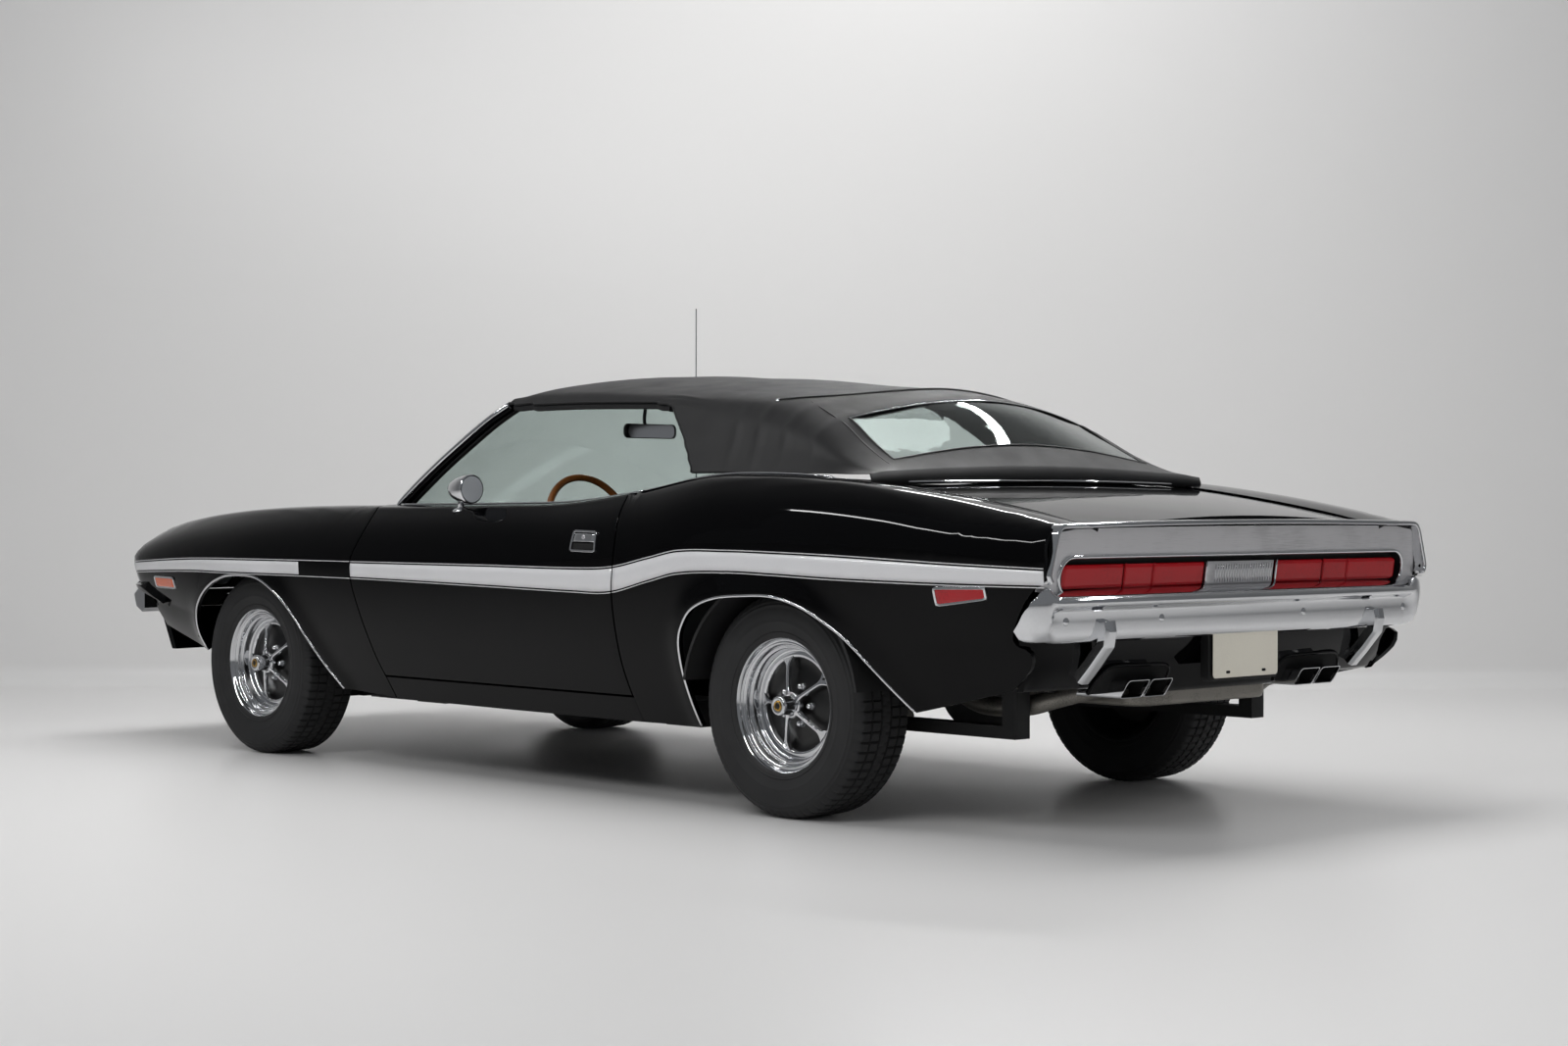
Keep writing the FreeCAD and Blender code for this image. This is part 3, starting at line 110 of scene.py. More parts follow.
@dataclass(frozen=True)
class Finish:
    """A surface: what it is made of, how it was made and how it shines."""

    name: str
    making: Making
    colour: str
    slot: str
    grain_mm: float
    relief_mm: float = 0.1
    mottle: float = 0.15
    metallic: float = 0.0
    roughness: float = 0.5
    roughness_spread: float = 0.08
    ior: float = 1.5
    coat: float = 0.0
    sheen: float = 0.0
    transmission: float = 0.0
    stretch: tuple[float, float, float] = (1.0, 1.0, 1.0)

    def material(self) -> bpy.types.Material:
        """Give the finish's material, made once."""
        found = bpy.data.materials.get(self.name)
        if found:
            return found
        material = bpy.data.materials.new(self.name)
        material.use_nodes = True
        tree = material.node_tree
        tree.nodes.clear()
        output = add_node(tree, "ShaderNodeOutputMaterial")
        shader = add_node(tree, "ShaderNodeBsdfPrincipled", {
            "Metallic": self.metallic,
            "IOR": self.ior,
            "Coat Weight": self.coat,
            "Coat Roughness": 0.03,
            "Sheen Weight": self.sheen,
            "Transmission Weight": self.transmission,
        })
        tree.links.new(shader.outputs["BSDF"], output.inputs["Surface"])
        place = add_node(tree, "ShaderNodeTexCoord").outputs["Object"]
        scale = 1000.0 / self.grain_mm
        mapped = add_node(
            tree, "ShaderNodeMapping", {"Scale": [scale * part for part in self.stretch]}, {"Vector": place},
        ).outputs["Vector"]
        grain = self.grain(tree, mapped)
        self.colour_from(tree, shader, place, grain)
        self.roughness_from(tree, shader, place)
        if self.relief_mm:
            bump = add_node(
                tree, "ShaderNodeBump", {"Distance": self.relief_mm / 1000.0, "Strength": 0.6}, {"Height": grain},
            )
            tree.links.new(bump.outputs["Normal"], shader.inputs["Normal"])
        return material

    def grain(self, tree: bpy.types.NodeTree, mapped: bpy.types.NodeSocket) -> bpy.types.NodeSocket:
        """Draw the fine structure that the making leaves.

        Args:
            tree: the material's node tree.
            mapped: coordinates in grains.

        Returns:
            A height from 0 to 1.
        """
        noise = add_node(tree, "ShaderNodeTexNoise", {"Scale": 1.0, "Detail": 3.0}, {"Vector": mapped})
        if self.making is not Making.GRAINED:
            return noise.outputs["Fac"]
        cells = add_node(
            tree, "ShaderNodeTexVoronoi", {"Scale": 1.0, "feature": "SMOOTH_F1", "Smoothness": 0.35},
            {"Vector": mapped},
        )
        mixed = add_node(tree, "ShaderNodeMath", {"operation": "MULTIPLY_ADD"})
        tree.links.new(cells.outputs["Distance"], mixed.inputs[0])
        mixed.inputs[1].default_value = 0.7
        tree.links.new(noise.outputs["Fac"], mixed.inputs[2])
        return mixed.outputs["Value"]

    def colour_from(
        self,
        tree: bpy.types.NodeTree,
        shader: bpy.types.Node,
        place: bpy.types.NodeSocket,
        grain: bpy.types.NodeSocket,
    ) -> None:
        """Give the shader its colour, a little uneven over a hand's width and over the grain.

        Args:
            tree: the material's node tree.
            shader: the shader to feed.
            place: the object's coordinates.
            grain: the surface's fine structure, from 0 to 1.
        """
        broad = add_node(tree, "ShaderNodeTexNoise", {"Scale": 7.0, "Detail": 5.0}, {"Vector": place})
        both = add_node(tree, "ShaderNodeMath", {"operation": "ADD"})
        tree.links.new(broad.outputs["Fac"], both.inputs[0])
        tree.links.new(grain, both.inputs[1])
        base = linear(self.colour)
        low = [max(0.0, part * (1 - self.mottle)) for part in base[:3]] + [1.0]
        high = [min(1.0, part * (1 + self.mottle)) for part in base[:3]] + [1.0]
        ramp = add_node(tree, "ShaderNodeValToRGB", links={"Fac": both.outputs["Value"]})
        ramp.color_ramp.elements[0].position = 0.7
        ramp.color_ramp.elements[0].color = low
        ramp.color_ramp.elements[1].position = 1.0
        ramp.color_ramp.elements[1].color = high
        tree.links.new(ramp.outputs["Color"], shader.inputs["Base Color"])

    def roughness_from(
        self, tree: bpy.types.NodeTree, shader: bpy.types.Node, place: bpy.types.NodeSocket,
    ) -> None:
        """Give the shader its roughness, which handling and dust vary a little.

        Args:
            tree: the material's node tree.
            shader: the shader to feed.
            place: the object's coordinates.
        """
        wear = add_node(tree, "ShaderNodeTexNoise", {"Scale": 11.0, "Detail": 6.0}, {"Vector": place})
        low = max(0.0, self.roughness - self.roughness_spread)
        spread = add_node(tree, "ShaderNodeMapRange", {
            "To Min": low,
            "To Max": self.roughness + self.roughness_spread,
        }, {"Value": wear.outputs["Fac"]})
        tree.links.new(spread.outputs["Result"], shader.inputs["Roughness"])


# Enamel sprayed and polished: a mirror with the faint orange peel that spray leaves.
ENAMEL = Finish(
    "black_enamel", Making.SPRAYED, "030304", "body_paint", grain_mm=4.0, relief_mm=0.003, mottle=0.1,
    roughness=0.035, roughness_spread=0.012, ior=1.22,
)
# Chrome plate over polished steel: near a mirror, with fine wiping marks.
CHROME = Finish(
    "chrome_plate", Making.PLATED, "d9dadc", "chrome", grain_mm=6.0, relief_mm=0.004, mottle=0.02,
    metallic=1.0, roughness=0.07, roughness_spread=0.03,
)
WHEEL_CHROME = Finish(
    "wheel_chrome_plate", Making.PLATED, "d2d3d5", "wheel_chrome", grain_mm=6.0, relief_mm=0.004, mottle=0.02,
    metallic=1.0, roughness=0.08, roughness_spread=0.03,
)
# Silver lacquer over brushed steel: a satin field with lines along the car's width.
TAIL_SILVER = Finish(
    "brushed_silver_lacquer", Making.BRUSHED, "c2c1c3", "tail_silver", grain_mm=1.5, relief_mm=0.02, mottle=0.12,
    metallic=0.6, roughness=0.42, stretch=(1.0, 0.02, 1.0),
)
# Moulded acrylic lens: deep red, clear and smooth, a little see-through.
RED_ACRYLIC = Finish(
    "red_acrylic_lens", Making.MOULDED, "9c0410", "red_lens", grain_mm=5.0, relief_mm=0.03, mottle=0.25,
    roughness=0.12, ior=1.4, coat=0.2,
)
AMBER_ACRYLIC = Finish(
    "amber_acrylic_lens", Making.MOULDED, "c9500f", "marker_lens", grain_mm=5.0, relief_mm=0.03, mottle=0.2,
    roughness=0.12, ior=1.49, coat=0.6,
)
CLEAR_ACRYLIC = Finish(
    "clear_acrylic_lens", Making.MOULDED, "b9bcc0", "head_glass", grain_mm=5.0, relief_mm=0.03, mottle=0.1,
    roughness=0.12, ior=1.49, coat=0.8,
)
# Float glass tinted in the melt: a cool green-grey when looked through.
TINTED_GLASS = Finish(
    "tinted_float_glass", Making.CLEAR, "c4d2ce", "window_glass", grain_mm=400.0, relief_mm=0.0, mottle=0.02,
    roughness=0.01, roughness_spread=0.005, ior=1.45, transmission=1.0,
)
# Vinyl-coated cloth, embossed: a dry black with a fine pebble grain and soft sheen.
TOP_VINYL = Finish(
    "embossed_vinyl_cloth", Making.GRAINED, "0f0f10", "top_vinyl", grain_mm=1.6, relief_mm=0.2, mottle=0.3,
    roughness=0.55, roughness_spread=0.1, ior=1.4, sheen=0.02,
)
SEAT_VINYL = Finish(
    "embossed_seat_vinyl", Making.GRAINED, "19191a", "seat_vinyl", grain_mm=2.0, relief_mm=0.2, mottle=0.25,
    roughness=0.42, sheen=0.1,
)
# ABS moulded in a grained tool: even black, low gloss.
CABIN_ABS = Finish(
    "grained_black_abs", Making.GRAINED, "161617", "dash_plastic", grain_mm=1.4, relief_mm=0.15, mottle=0.2,
    roughness=0.5,
)
# Walnut veneer under varnish: brown lines round the rim under a clear gloss.
RIM_WALNUT = Finish(
    "varnished_walnut", Making.FIGURED, "8a5426", "rim_wood", grain_mm=5.0, relief_mm=0.02, mottle=0.45,
    roughness=0.3, coat=0.7, stretch=(1.0, 0.3, 1.0),
)
# Tyre rubber, moulded and a little dusty: dull black.
TYRE_RUBBER = Finish(
    "moulded_tyre_rubber", Making.MOULDED, "1c1c1d", "tyre_rubber", grain_mm=1.2, relief_mm=0.1, mottle=0.25,
    roughness=0.72, ior=1.52,
)
CHASSIS_PAINT = Finish(
    "satin_chassis_paint", Making.SPRAYED, "141415", "black_metal", grain_mm=3.0, relief_mm=0.15, mottle=0.4,
    roughness=0.6,
)
CAST_IRON = Finish(
    "raw_cast_iron", Making.CAST, "3b3936", "cast_iron", grain_mm=2.0, relief_mm=0.4, mottle=0.35,
    metallic=0.7, roughness=0.65,
)
EXHAUST_STEEL = Finish(
    "aluminised_steel", Making.MOULDED, "7d7a74", "steel", grain_mm=3.0, relief_mm=0.1, mottle=0.35,
    metallic=0.9, roughness=0.45,
)
GRILLE_BLACK = Finish(
    "matt_black_abs", Making.MOULDED, "0e0e0f", "grille_black", grain_mm=1.5, relief_mm=0.08, mottle=0.2,
    roughness=0.62,
)
PLATE_CREAM = Finish(
    "pressed_plate_enamel", Making.SPRAYED, "e6e1d3", "plate_white", grain_mm=3.0, relief_mm=0.02, mottle=0.03,
    roughness=0.35,
)
SPIDER_BLACK = Finish(
    "black_wheel_lacquer", Making.SPRAYED, "070707", "wheel_chrome", grain_mm=3.0, relief_mm=0.02, mottle=0.2,
    roughness=0.35,
)
CAP_GOLD = Finish(
    "gilt_cap_ring", Making.PLATED, "b8924a", "wheel_chrome", grain_mm=5.0, relief_mm=0.004, mottle=0.05,
    metallic=1.0, roughness=0.2,
)
# Cut vinyl film: opaque white, flatter than the paint round it.
STRIPE_WHITE = Finish(
    "white_vinyl_film", Making.MOULDED, "e4e4e6", "body_paint", grain_mm=3.0, relief_mm=0.01, mottle=0.02,
    roughness=0.25, roughness_spread=0.04, coat=0.4,
)
MIRROR_SILVER = Finish(
    "silvered_glass", Making.PLATED, "cdd1d6", "chrome", grain_mm=9.0, relief_mm=0.0, mottle=0.02, metallic=0.4,
    roughness=0.16,
)
RUBBER_SEAL = Finish(
    "extruded_rubber", Making.MOULDED, "0d0d0e", "grille_black", grain_mm=1.5, relief_mm=0.05, mottle=0.2,
    roughness=0.55,
)
# Painted shade: a near-black matt finish for sheets put where openings and recesses lie in shade.
PAINTED_SHADE = Finish(
    "unlit_inside", Making.SPRAYED, "040404", "black_metal", grain_mm=5.0, relief_mm=0.0, mottle=0.1,
    roughness=0.9,
)

FINISH_NODES: tuple[tuple[Finish, Sequence[str]], ...] = (
    (ENAMEL, (
        "front_fender_left", "front_fender_right", "quarter_panel_left", "quarter_panel_right", "door_left",
        "door_right", "hood", "deck_lid", "cowl_panel", "rear_deck_panel", "nose_panel", "rear_valance",
        "front_valance", "windshield_frame",
    )),
    (TAIL_SILVER, ("tail_panel",)),
    (RED_ACRYLIC, ("tail_lamps",)),
    (CHROME, (
        "rear_bumper", "front_bumper", "exhaust_tips", "aerial", "door_handle_left", "door_handle_right",
        "door_mirror",
    )),
    (PLATE_CREAM, ("licence_plate",)),
    (GRILLE_BLACK, ("grille",)),
    (CLEAR_ACRYLIC, ("headlamps",)),
    (AMBER_ACRYLIC, ("side_markers",)),
    (TINTED_GLASS, ("windshield_glass", "backlight_glass")),
    (TOP_VINYL, ("soft_top",)),
    (CABIN_ABS, ("dashboard",)),
    (RIM_WALNUT, ("steering_wheel",)),
    (SEAT_VINYL, ("front_seats", "rear_seat")),
    (CHASSIS_PAINT, ("underbody", "front_suspension", "upper_arms", "rear_axle", "leaf_springs")),
    (CAST_IRON, ("engine", "knuckle_left", "knuckle_right")),
    (EXHAUST_STEEL, ("front_pipes", "fuel_tank")),
    (TYRE_RUBBER, ("tyre_front_left", "tyre_front_right", "tyre_rear_left", "tyre_rear_right")),
    (WHEEL_CHROME, ("rim_front_left", "rim_front_right", "rim_rear_left", "rim_rear_right")),
)


def dress_nodes() -> None:
    """Give every CAD node its finish."""
    finishes = {name: finish for finish, names in FINISH_NODES for name in names}
    for name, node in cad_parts.items():
        node.data.materials.clear()
        node.data.materials.append(finishes[name].material())


# The body's form, the same curves as the frame's own, as shares of the half length, half width and hip height

SIDE_SHARES: tuple[Row, ...] = (
    (-0.992, 0.866, 0.85, 0.932, 0.776, 0.9, 0.869, 0.408),
    (-0.885, 0.864, 0.901, 0.981, 0.795, 0.921, 0.874, 0.379),
    (-0.761, 0.879, 0.947, 0.993, 0.805, 0.947, 0.879, 0.325),
    (-0.638, 0.885, 0.979, 1.000, 0.812, 0.962, 0.879, 0.276),
    (-0.515, 0.882, 0.994, 1.000, 0.813, 0.962, 0.879, 0.251),
    (-0.412, 0.882, 0.989, 1.000, 0.799, 0.957, 0.879, 0.241),
    (-0.288, 0.89, 0.945, 0.993, 0.753, 0.952, 0.879, 0.239),
    (-0.144, 0.89, 0.911, 0.988, 0.73, 0.947, 0.877, 0.239),
    (0.000, 0.89, 0.904, 0.986, 0.724, 0.944, 0.874, 0.239),
    (0.144, 0.888, 0.9, 0.986, 0.721, 0.944, 0.874, 0.241),
    (0.288, 0.882, 0.898, 0.985, 0.72, 0.942, 0.871, 0.246),
    (0.432, 0.869, 0.896, 0.983, 0.72, 0.936, 0.869, 0.258),
    (0.587, 0.854, 0.886, 0.977, 0.72, 0.931, 0.864, 0.281),
    (0.72, 0.833, 0.866, 0.962, 0.717, 0.911, 0.843, 0.335),
    (0.823, 0.812, 0.839, 0.944, 0.711, 0.885, 0.828, 0.394),
    (0.906, 0.786, 0.803, 0.919, 0.701, 0.864, 0.812, 0.443),
    (0.947, 0.765, 0.766, 0.893, 0.693, 0.84, 0.792, 0.468),
    (0.972, 0.732, 0.728, 0.838, 0.672, 0.795, 0.752, 0.482),
)
FLANGE_SHARES: tuple[Row, ...] = (
    (-0.992, 0.69), (-0.72, 0.7), (-0.6, 0.735), (-0.3, 0.775), (0.288, 0.724), (0.972, 0.64),
)
RISE_SHARES: tuple[Row, ...] = (
    (-0.992, 0.022), (-0.8, 0.016), (-0.6, 0.008), (0.3, 0.01), (0.6, 0.012), (0.972, 0.016),
)
DOOR_FRONT_SHARES: tuple[Row, ...] = (
    (0.96, 0.283), (0.88, 0.272), (0.83, 0.27), (0.775, 0.278), (0.715, 0.291), (0.65, 0.293),
    (0.53, 0.278), (0.39, 0.258), (0.29, 0.243), (0.2, 0.238),
)
DOOR_REAR_SHARES: tuple[Row, ...] = (
    (1.03, -0.268), (0.9, -0.283), (0.8, -0.292), (0.72, -0.29), (0.64, -0.285), (0.54, -0.285),
    (0.43, -0.288), (0.31, -0.296), (0.2, -0.302),
)
FRONT_ARCH_SHARES: tuple[Row, ...] = (
    (1.16, -0.2), (1.215, 0.1), (1.232, 0.29), (1.145, 0.511), (0.94, 0.695), (0.665, 0.849),
    (0.38, 0.94), (0.095, 0.976), (-0.354, 0.961), (-0.686, 0.828), (-0.961, 0.623), (-1.199, 0.333),
    (-1.389, 0.107), (-1.648, -0.2),
)
REAR_ARCH_SHARES: tuple[Row, ...] = (
    (1.06, -0.4), (1.11, -0.05), (1.139, 0.3), (1.13, 0.523), (1.057, 0.68), (0.897, 0.835), (0.6, 0.935),
    (0.207, 0.97), (-0.167, 0.97), (-0.523, 0.885), (-0.849, 0.725), (-1.045, 0.584), (-1.308, 0.324),
    (-1.576, 0.04),
)


def follow(table: Sequence[Row], x: float, column: int) -> float:
    """Read one column of a share table at x, on a smooth curve through its rows.

    Args:
        table: rows that start with their own place.
        x: the place asked for.
        column: which value of the row.

    Returns:
        The value there.
    """
    ordered = table if table[0][0] < table[-1][0] else table[::-1]
    last = len(ordered) - 1
    x = min(max(x, ordered[0][0]), ordered[last][0])
    index = 0
    while index < last - 1 and x > ordered[index + 1][0]:
        index += 1
    (x0, v0), (x1, v1) = [(ordered[near][0], ordered[near][column]) for near in (index, index + 1)]
    slopes = []
    for near in (index, index + 1):
        if near in (0, last):
            slopes.append((v1 - v0) / (x1 - x0))
        else:
            before, after = ordered[near - 1], ordered[near + 1]
            slopes.append((after[column] - before[column]) / (after[0] - before[0]))
    t = (x - x0) / (x1 - x0)
    rise = t * t * (3 - 2 * t)
    bends = slopes[0] * t * (1 - t) ** 2 + slopes[1] * t * t * (t - 1)
    return v0 + (v1 - v0) * rise + (x1 - x0) * bends


def curve_through(points: Sequence[Point], count: int) -> list[Point]:
    """Sample a smooth curve through points in a plane, evenly along its length.

    Args:
        points: the points that it passes.
        count: how many samples to give.

    Returns:
        The samples, ends included.
    """
    dense: list[Point] = []
    ends = [points[0], *points, points[-1]]
    for index in range(len(points) - 1):
        p0, p1, p2, p3 = ends[index:index + 4]
        for step in range(16):
            t = step / 16
            dense.append(tuple(
                0.5 * (2 * b + (c - a) * t + (2 * a - 5 * b + 4 * c - d) * t * t + (3 * b - a - 3 * c + d) * t ** 3)
                for a, b, c, d in zip(p0, p1, p2, p3)
            ))
    dense.append(tuple(points[-1]))
    return even(dense, count)


def even(points: Sequence[Point], count: int) -> list[Point]:
    """Sample a polyline evenly along its length.

    Args:
        points: the polyline.
        count: how many samples to give.

    Returns:
        The samples, ends included.
    """
    lengths = [0.0]
    for a, b in zip(points, points[1:]):
        lengths.append(lengths[-1] + math.dist(a, b))
    out, index = [], 0
    for step in range(count):
        goal = lengths[-1] * step / (count - 1)
        while index < len(points) - 2 and lengths[index + 1] < goal:
            index += 1
        run = lengths[index + 1] - lengths[index] or 1.0
        t = (goal - lengths[index]) / run
        out.append(tuple(a + (b - a) * t for a, b in zip(points[index], points[index + 1])))
    return out


@dataclass(frozen=True)
class BodyForm:
    """The car's sizes in metres and the curves of its skin."""

    half_length: float = 2.4295
    half_width: float = 0.9665
    hip_height: float = 1.016
    tyre_radius: float = 0.3315
    front_axle_x: float = 1.4265
    rear_axle_x: float = -1.3675
    panel_gap: float = 0.006
    shoulder_drop: float = 0.014
    crown_inset: float = 0.046
    flange_drop: float = 0.007
    roll: float = 0.052
    skin: float = 0.018
    door_bottom: float = 0.324
    flare: float = 0.009
    flare_reach: float = 0.045

    def station(self, x: float) -> tuple[float, ...]:
        """Give shoulder y and z, waist y and z, low y, sill y and z at x."""
        share = x / self.half_length
        scales = (self.half_width, self.hip_height, self.half_width, self.hip_height, self.half_width,
                  self.half_width, self.hip_height)
        return tuple(follow(SIDE_SHARES, share, column + 1) * scale for column, scale in enumerate(scales))

    def side_y(self, x: float, z: float) -> float:
        """Give the distance of the side's outer face from the middle plane.

        Args:
            x: place along the car.
            z: height.

        Returns:
            The outer face's y on the left side.
        """
        shoulder_y, shoulder_z, waist_y, waist_z, low_y, sill_y, sill_z = self.station(x)
        if z >= waist_z:
            t = min(1.0, (z - waist_z) / (shoulder_z - waist_z))
            return waist_y + (shoulder_y - waist_y) * (0.25 * t + 0.75 * t ** 2.6)
        low_z = sill_z + 0.38 * (waist_z - sill_z)
        if z >= low_z:
            t = (waist_z - z) / (waist_z - low_z)
            return waist_y + (low_y - waist_y) * (0.15 * t + 0.85 * t * t)
        t = min(1.0, (low_z - z) / (low_z - sill_z))
        return low_y + (sill_y - low_y) * (0.6 * t + 0.4 * t * t)

    def flange_y(self, x: float) -> float:
        """Give the inner edge of the side panels' top flange at x."""
        return follow(FLANGE_SHARES, x / self.half_length, 1) * self.half_width

    def sill_z(self, x: float) -> float:
        """Give the height of the side's lower edge at x."""
        return self.station(x)[6]

    def edge_w(self, x: float) -> float:
        """Give the unrolled height at which the side turns over into the shoulder."""
        return self.station(x)[1] - self.shoulder_drop

    def top_w(self, x: float) -> float:
        """Give the unrolled height of the flange's inner edge."""
        return self.edge_w(x) + self.roll + self.station(x)[0] - self.crown_inset - self.flange_y(x)

    def point(self, x: float, w: float, lift: float = 0.0) -> Vector:
        """Give the skin's point at x and an unrolled height w.

        Args:
            x: place along the car.
            w: the height on the side, and past the shoulder the way over it.
            lift: how far the point stands off the skin.

        Returns:
            The point on the left side.
        """
        shoulder_y, shoulder_z = self.station(x)[:2]
        edge = self.edge_w(x)
        if w <= edge:
            return Vector((x, self.side_y(x, w) + lift + self.lip(x, w), w))
        edge_y = self.side_y(x, edge)
        crown_y = shoulder_y - self.crown_inset
        over = w - edge
        if over <= self.roll:
            turn = math.pi / 2 * over / self.roll
            y = crown_y + (edge_y - crown_y) * math.cos(turn)
            z = edge + (shoulder_z - edge) * math.sin(turn)
            return Vector((x, y + lift * math.cos(turn), z + lift * math.sin(turn)))
        flange = self.flange_y(x)
        t = min(1.0, (over - self.roll) / (crown_y - flange))
        return Vector((x, crown_y + (flange - crown_y) * t, shoulder_z - self.flange_drop * t * t + lift))

    def lip(self, x: float, w: float) -> float:
        """Give how far the skin swells outward beside a wheel opening."""
        near = min(math.dist((x, w), point) for point in ARCH_POINTS) / self.flare_reach
        return self.flare * math.exp(-near * near) if near < 4 else 0.0

    def top_z(self, x: float, y: float) -> float:
        """Give the height of the skin between the fenders."""
        shoulder_z = self.station(x)[1]
        rise = follow(RISE_SHARES, x / self.half_length, 1) * self.hip_height
        return shoulder_z - self.flange_drop + rise * (1 - (y / self.flange_y(x)) ** 2)

    def door_line(self, shares: Sequence[Row], z: float) -> float:
        """Give a shut line's x at a height."""
        return follow(shares, z / self.hip_height, 1) * self.half_length

    def arch(self, shares: Sequence[Row], axle_x: float, count: int) -> list[Point]:
        """Give a wheel opening's points from its front foot to its rear foot."""
        points = [(axle_x + x * self.tyre_radius, self.tyre_radius * (1 + z)) for x, z in shares]
        return curve_through(points, count)


FORM = BodyForm()
ARCH_POINTS = (
    FORM.arch(FRONT_ARCH_SHARES, FORM.front_axle_x, 120) + FORM.arch(REAR_ARCH_SHARES, FORM.rear_axle_x, 120)
)


# Making meshes

def finish_piece(
    mesh: bpy.types.Mesh, finish: Finish, body: str = "car", replaced: Sequence[str] = (),
) -> bpy.types.Object:
    """Put a mesh in the scene as a piece of the car, under the mesh's own name.

    Args:
        mesh: the piece's mesh, in the row frame.
        finish: its finish.
        body: the body that it rides on.
        replaced: the CAD nodes that it stands for.

    Returns:
        The piece.
    """
    piece = bpy.data.objects.new(mesh.name, mesh)
    bpy.context.scene.collection.objects.link(piece)
    mesh.materials.append(finish.material())
    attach(piece, body)
    if replaced:
        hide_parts(*replaced)
    return piece


def mesh_from(name: str, points: Sequence[Sequence[float]], faces: Sequence[Sequence[int]]) -> bpy.types.Mesh:
    """Make a smooth-shaded mesh with its faces turned outward.

    Args:
        name: the mesh's name.
        points: its points.
        faces: point numbers of each face.

    Returns:
        The mesh, with points closer than 0.02 mm merged.
    """
    mesh = bpy.data.meshes.new(name)
    mesh.from_pydata([tuple(point) for point in points], [], [tuple(face) for face in faces])
    work = bmesh.new()
    work.from_mesh(mesh)
    bmesh.ops.remove_doubles(work, verts=work.verts, dist=0.00002)
    bmesh.ops.recalc_face_normals(work, faces=work.faces)
    work.to_mesh(mesh)
    work.free()
    mesh.polygons.foreach_set("use_smooth", [True] * len(mesh.polygons))
    return mesh


def grid_faces(
    rows: int, columns: int, wrap_rows: bool = False, wrap_columns: bool = False,
) -> list[tuple[int, ...]]:
    """List the quads of a grid of points.

    Args:
        rows: rows of points.
        columns: points in a row.
        wrap_rows: join the last row to the first.
        wrap_columns: join each row's last point to its first.

    Returns:
        Point numbers of each quad.
    """
    faces = []
    for row in range(rows if wrap_rows else rows - 1):
        for column in range(columns if wrap_columns else columns - 1):
            right, below = (column + 1) % columns, (row + 1) % rows
            faces.append((
                row * columns + column, row * columns + right, below * columns + right, below * columns + column,
            ))
    return faces


def grid_mesh(name: str, rows: Sequence[Sequence[Vector]], capped: bool = False, **wraps: bool) -> bpy.types.Mesh:
    """Make a mesh from rows of points, and close its first and last row when capped."""
    count, total = len(rows[0]), len(rows) * len(rows[0])
    caps = [tuple(range(count)), tuple(range(total - count, total))] if capped else []
    return mesh_from(name, [point for row in rows for point in row], grid_faces(len(rows), count, **wraps) + caps)


def flat_mesh(name: str, loop: Sequence[Vector]) -> bpy.types.Mesh:
    """Make a mesh of one face inside a loop of points."""
    return mesh_from(name, loop, [tuple(range(len(loop)))])


def spaced(start: float, end: float, steps: int) -> list[float]:
    """Give evenly spaced values from start to end, both included."""
    return [start + (end - start) * step / steps for step in range(steps + 1)]


def turns(count: int) -> list[float]:
    """Give evenly spaced angles round a circle, the last one short of a full turn."""
    return [2 * math.pi * step / count for step in range(count)]


def between(start: Row, end: Row, t: float) -> list[float]:
    """Give the point that lies a share t of the way from one point to another."""
    return [a + (b - a) * t for a, b in zip(start, end)]


def across(points: Sequence[Vector]) -> list[Vector]:
    """Mirror points to the car's right side."""
    return [Vector((point.x, -point.y, point.z)) for point in points]


def whole_row(half: Sequence[Vector]) -> list[Vector]:
    """Join a row that starts on the middle plane to its mirror image, from right to left."""
    return across(half[:0:-1]) + list(half)


SIDES: tuple[tuple[str, float], ...] = (("left", 1.0), ("right", -1.0))
TURNS: tuple[tuple[str, Turn], ...] = (("left", list), ("right", across))


def thicken(piece: bpy.types.Object, thickness: float, bevel: float = 0.0012) -> bpy.types.Object:
    """Give a skin its thickness, inward, with a rounded edge.

    Args:
        piece: a piece whose mesh is an open skin.
        thickness: how thick it becomes.
        bevel: the edge's radius.

    Returns:
        The piece.
    """
    wall = piece.modifiers.new("wall", "SOLIDIFY")
    wall.thickness = thickness
    wall.offset = -1.0
    round_edges(piece, bevel)
    return piece


def round_edges(piece: bpy.types.Object, width: float, segments: int = 2, angle: float = 50.0) -> bpy.types.Object:
    """Round a piece's sharp edges and shade it smooth.

    Args:
        piece: the piece.
        width: the rounding's width.
        segments: steps across it.
        angle: edges sharper than this, in degrees, are rounded.

    Returns:
        The piece.
    """
    bevel = piece.modifiers.new("rounded", "BEVEL")
    bevel.width = width
    bevel.segments = segments
    bevel.limit_method = "ANGLE"
    bevel.angle_limit = math.radians(angle)
    bevel.harden_normals = False
    piece.modifiers.new("even_shading", "WEIGHTED_NORMAL").keep_sharp = True
    piece.data.polygons.foreach_set("use_smooth", [True] * len(piece.data.polygons))
    return piece


def sweep(
    name: str, path: Sequence[Vector], section: Sequence[Point], up: Vector = Vector((0, 0, 1)),
    closed: bool = False,
) -> bpy.types.Mesh:
    """Sweep a closed section along a path.

    Args:
        name: the mesh's name.
        path: the points of the path.
        section: the section's points, sideways and upward.
        up: the direction that the section's top keeps to.
        closed: whether the path ends where it starts.

    Returns:
        The swept mesh.
    """
    rows, last = [], len(path) - 1
    for index, point in enumerate(path):
        before = path[index - 1 if closed or index else 0]
        after = path[(index + 1) % len(path) if closed else min(last, index + 1)]
        way = (after - before).normalized()
        side = way.cross(up).normalized()
        top = side.cross(way).normalized()
        rows.append([point + side * a + top * b for a, b in section])
    return grid_mesh(name, rows, capped=not closed, wrap_rows=closed, wrap_columns=True)


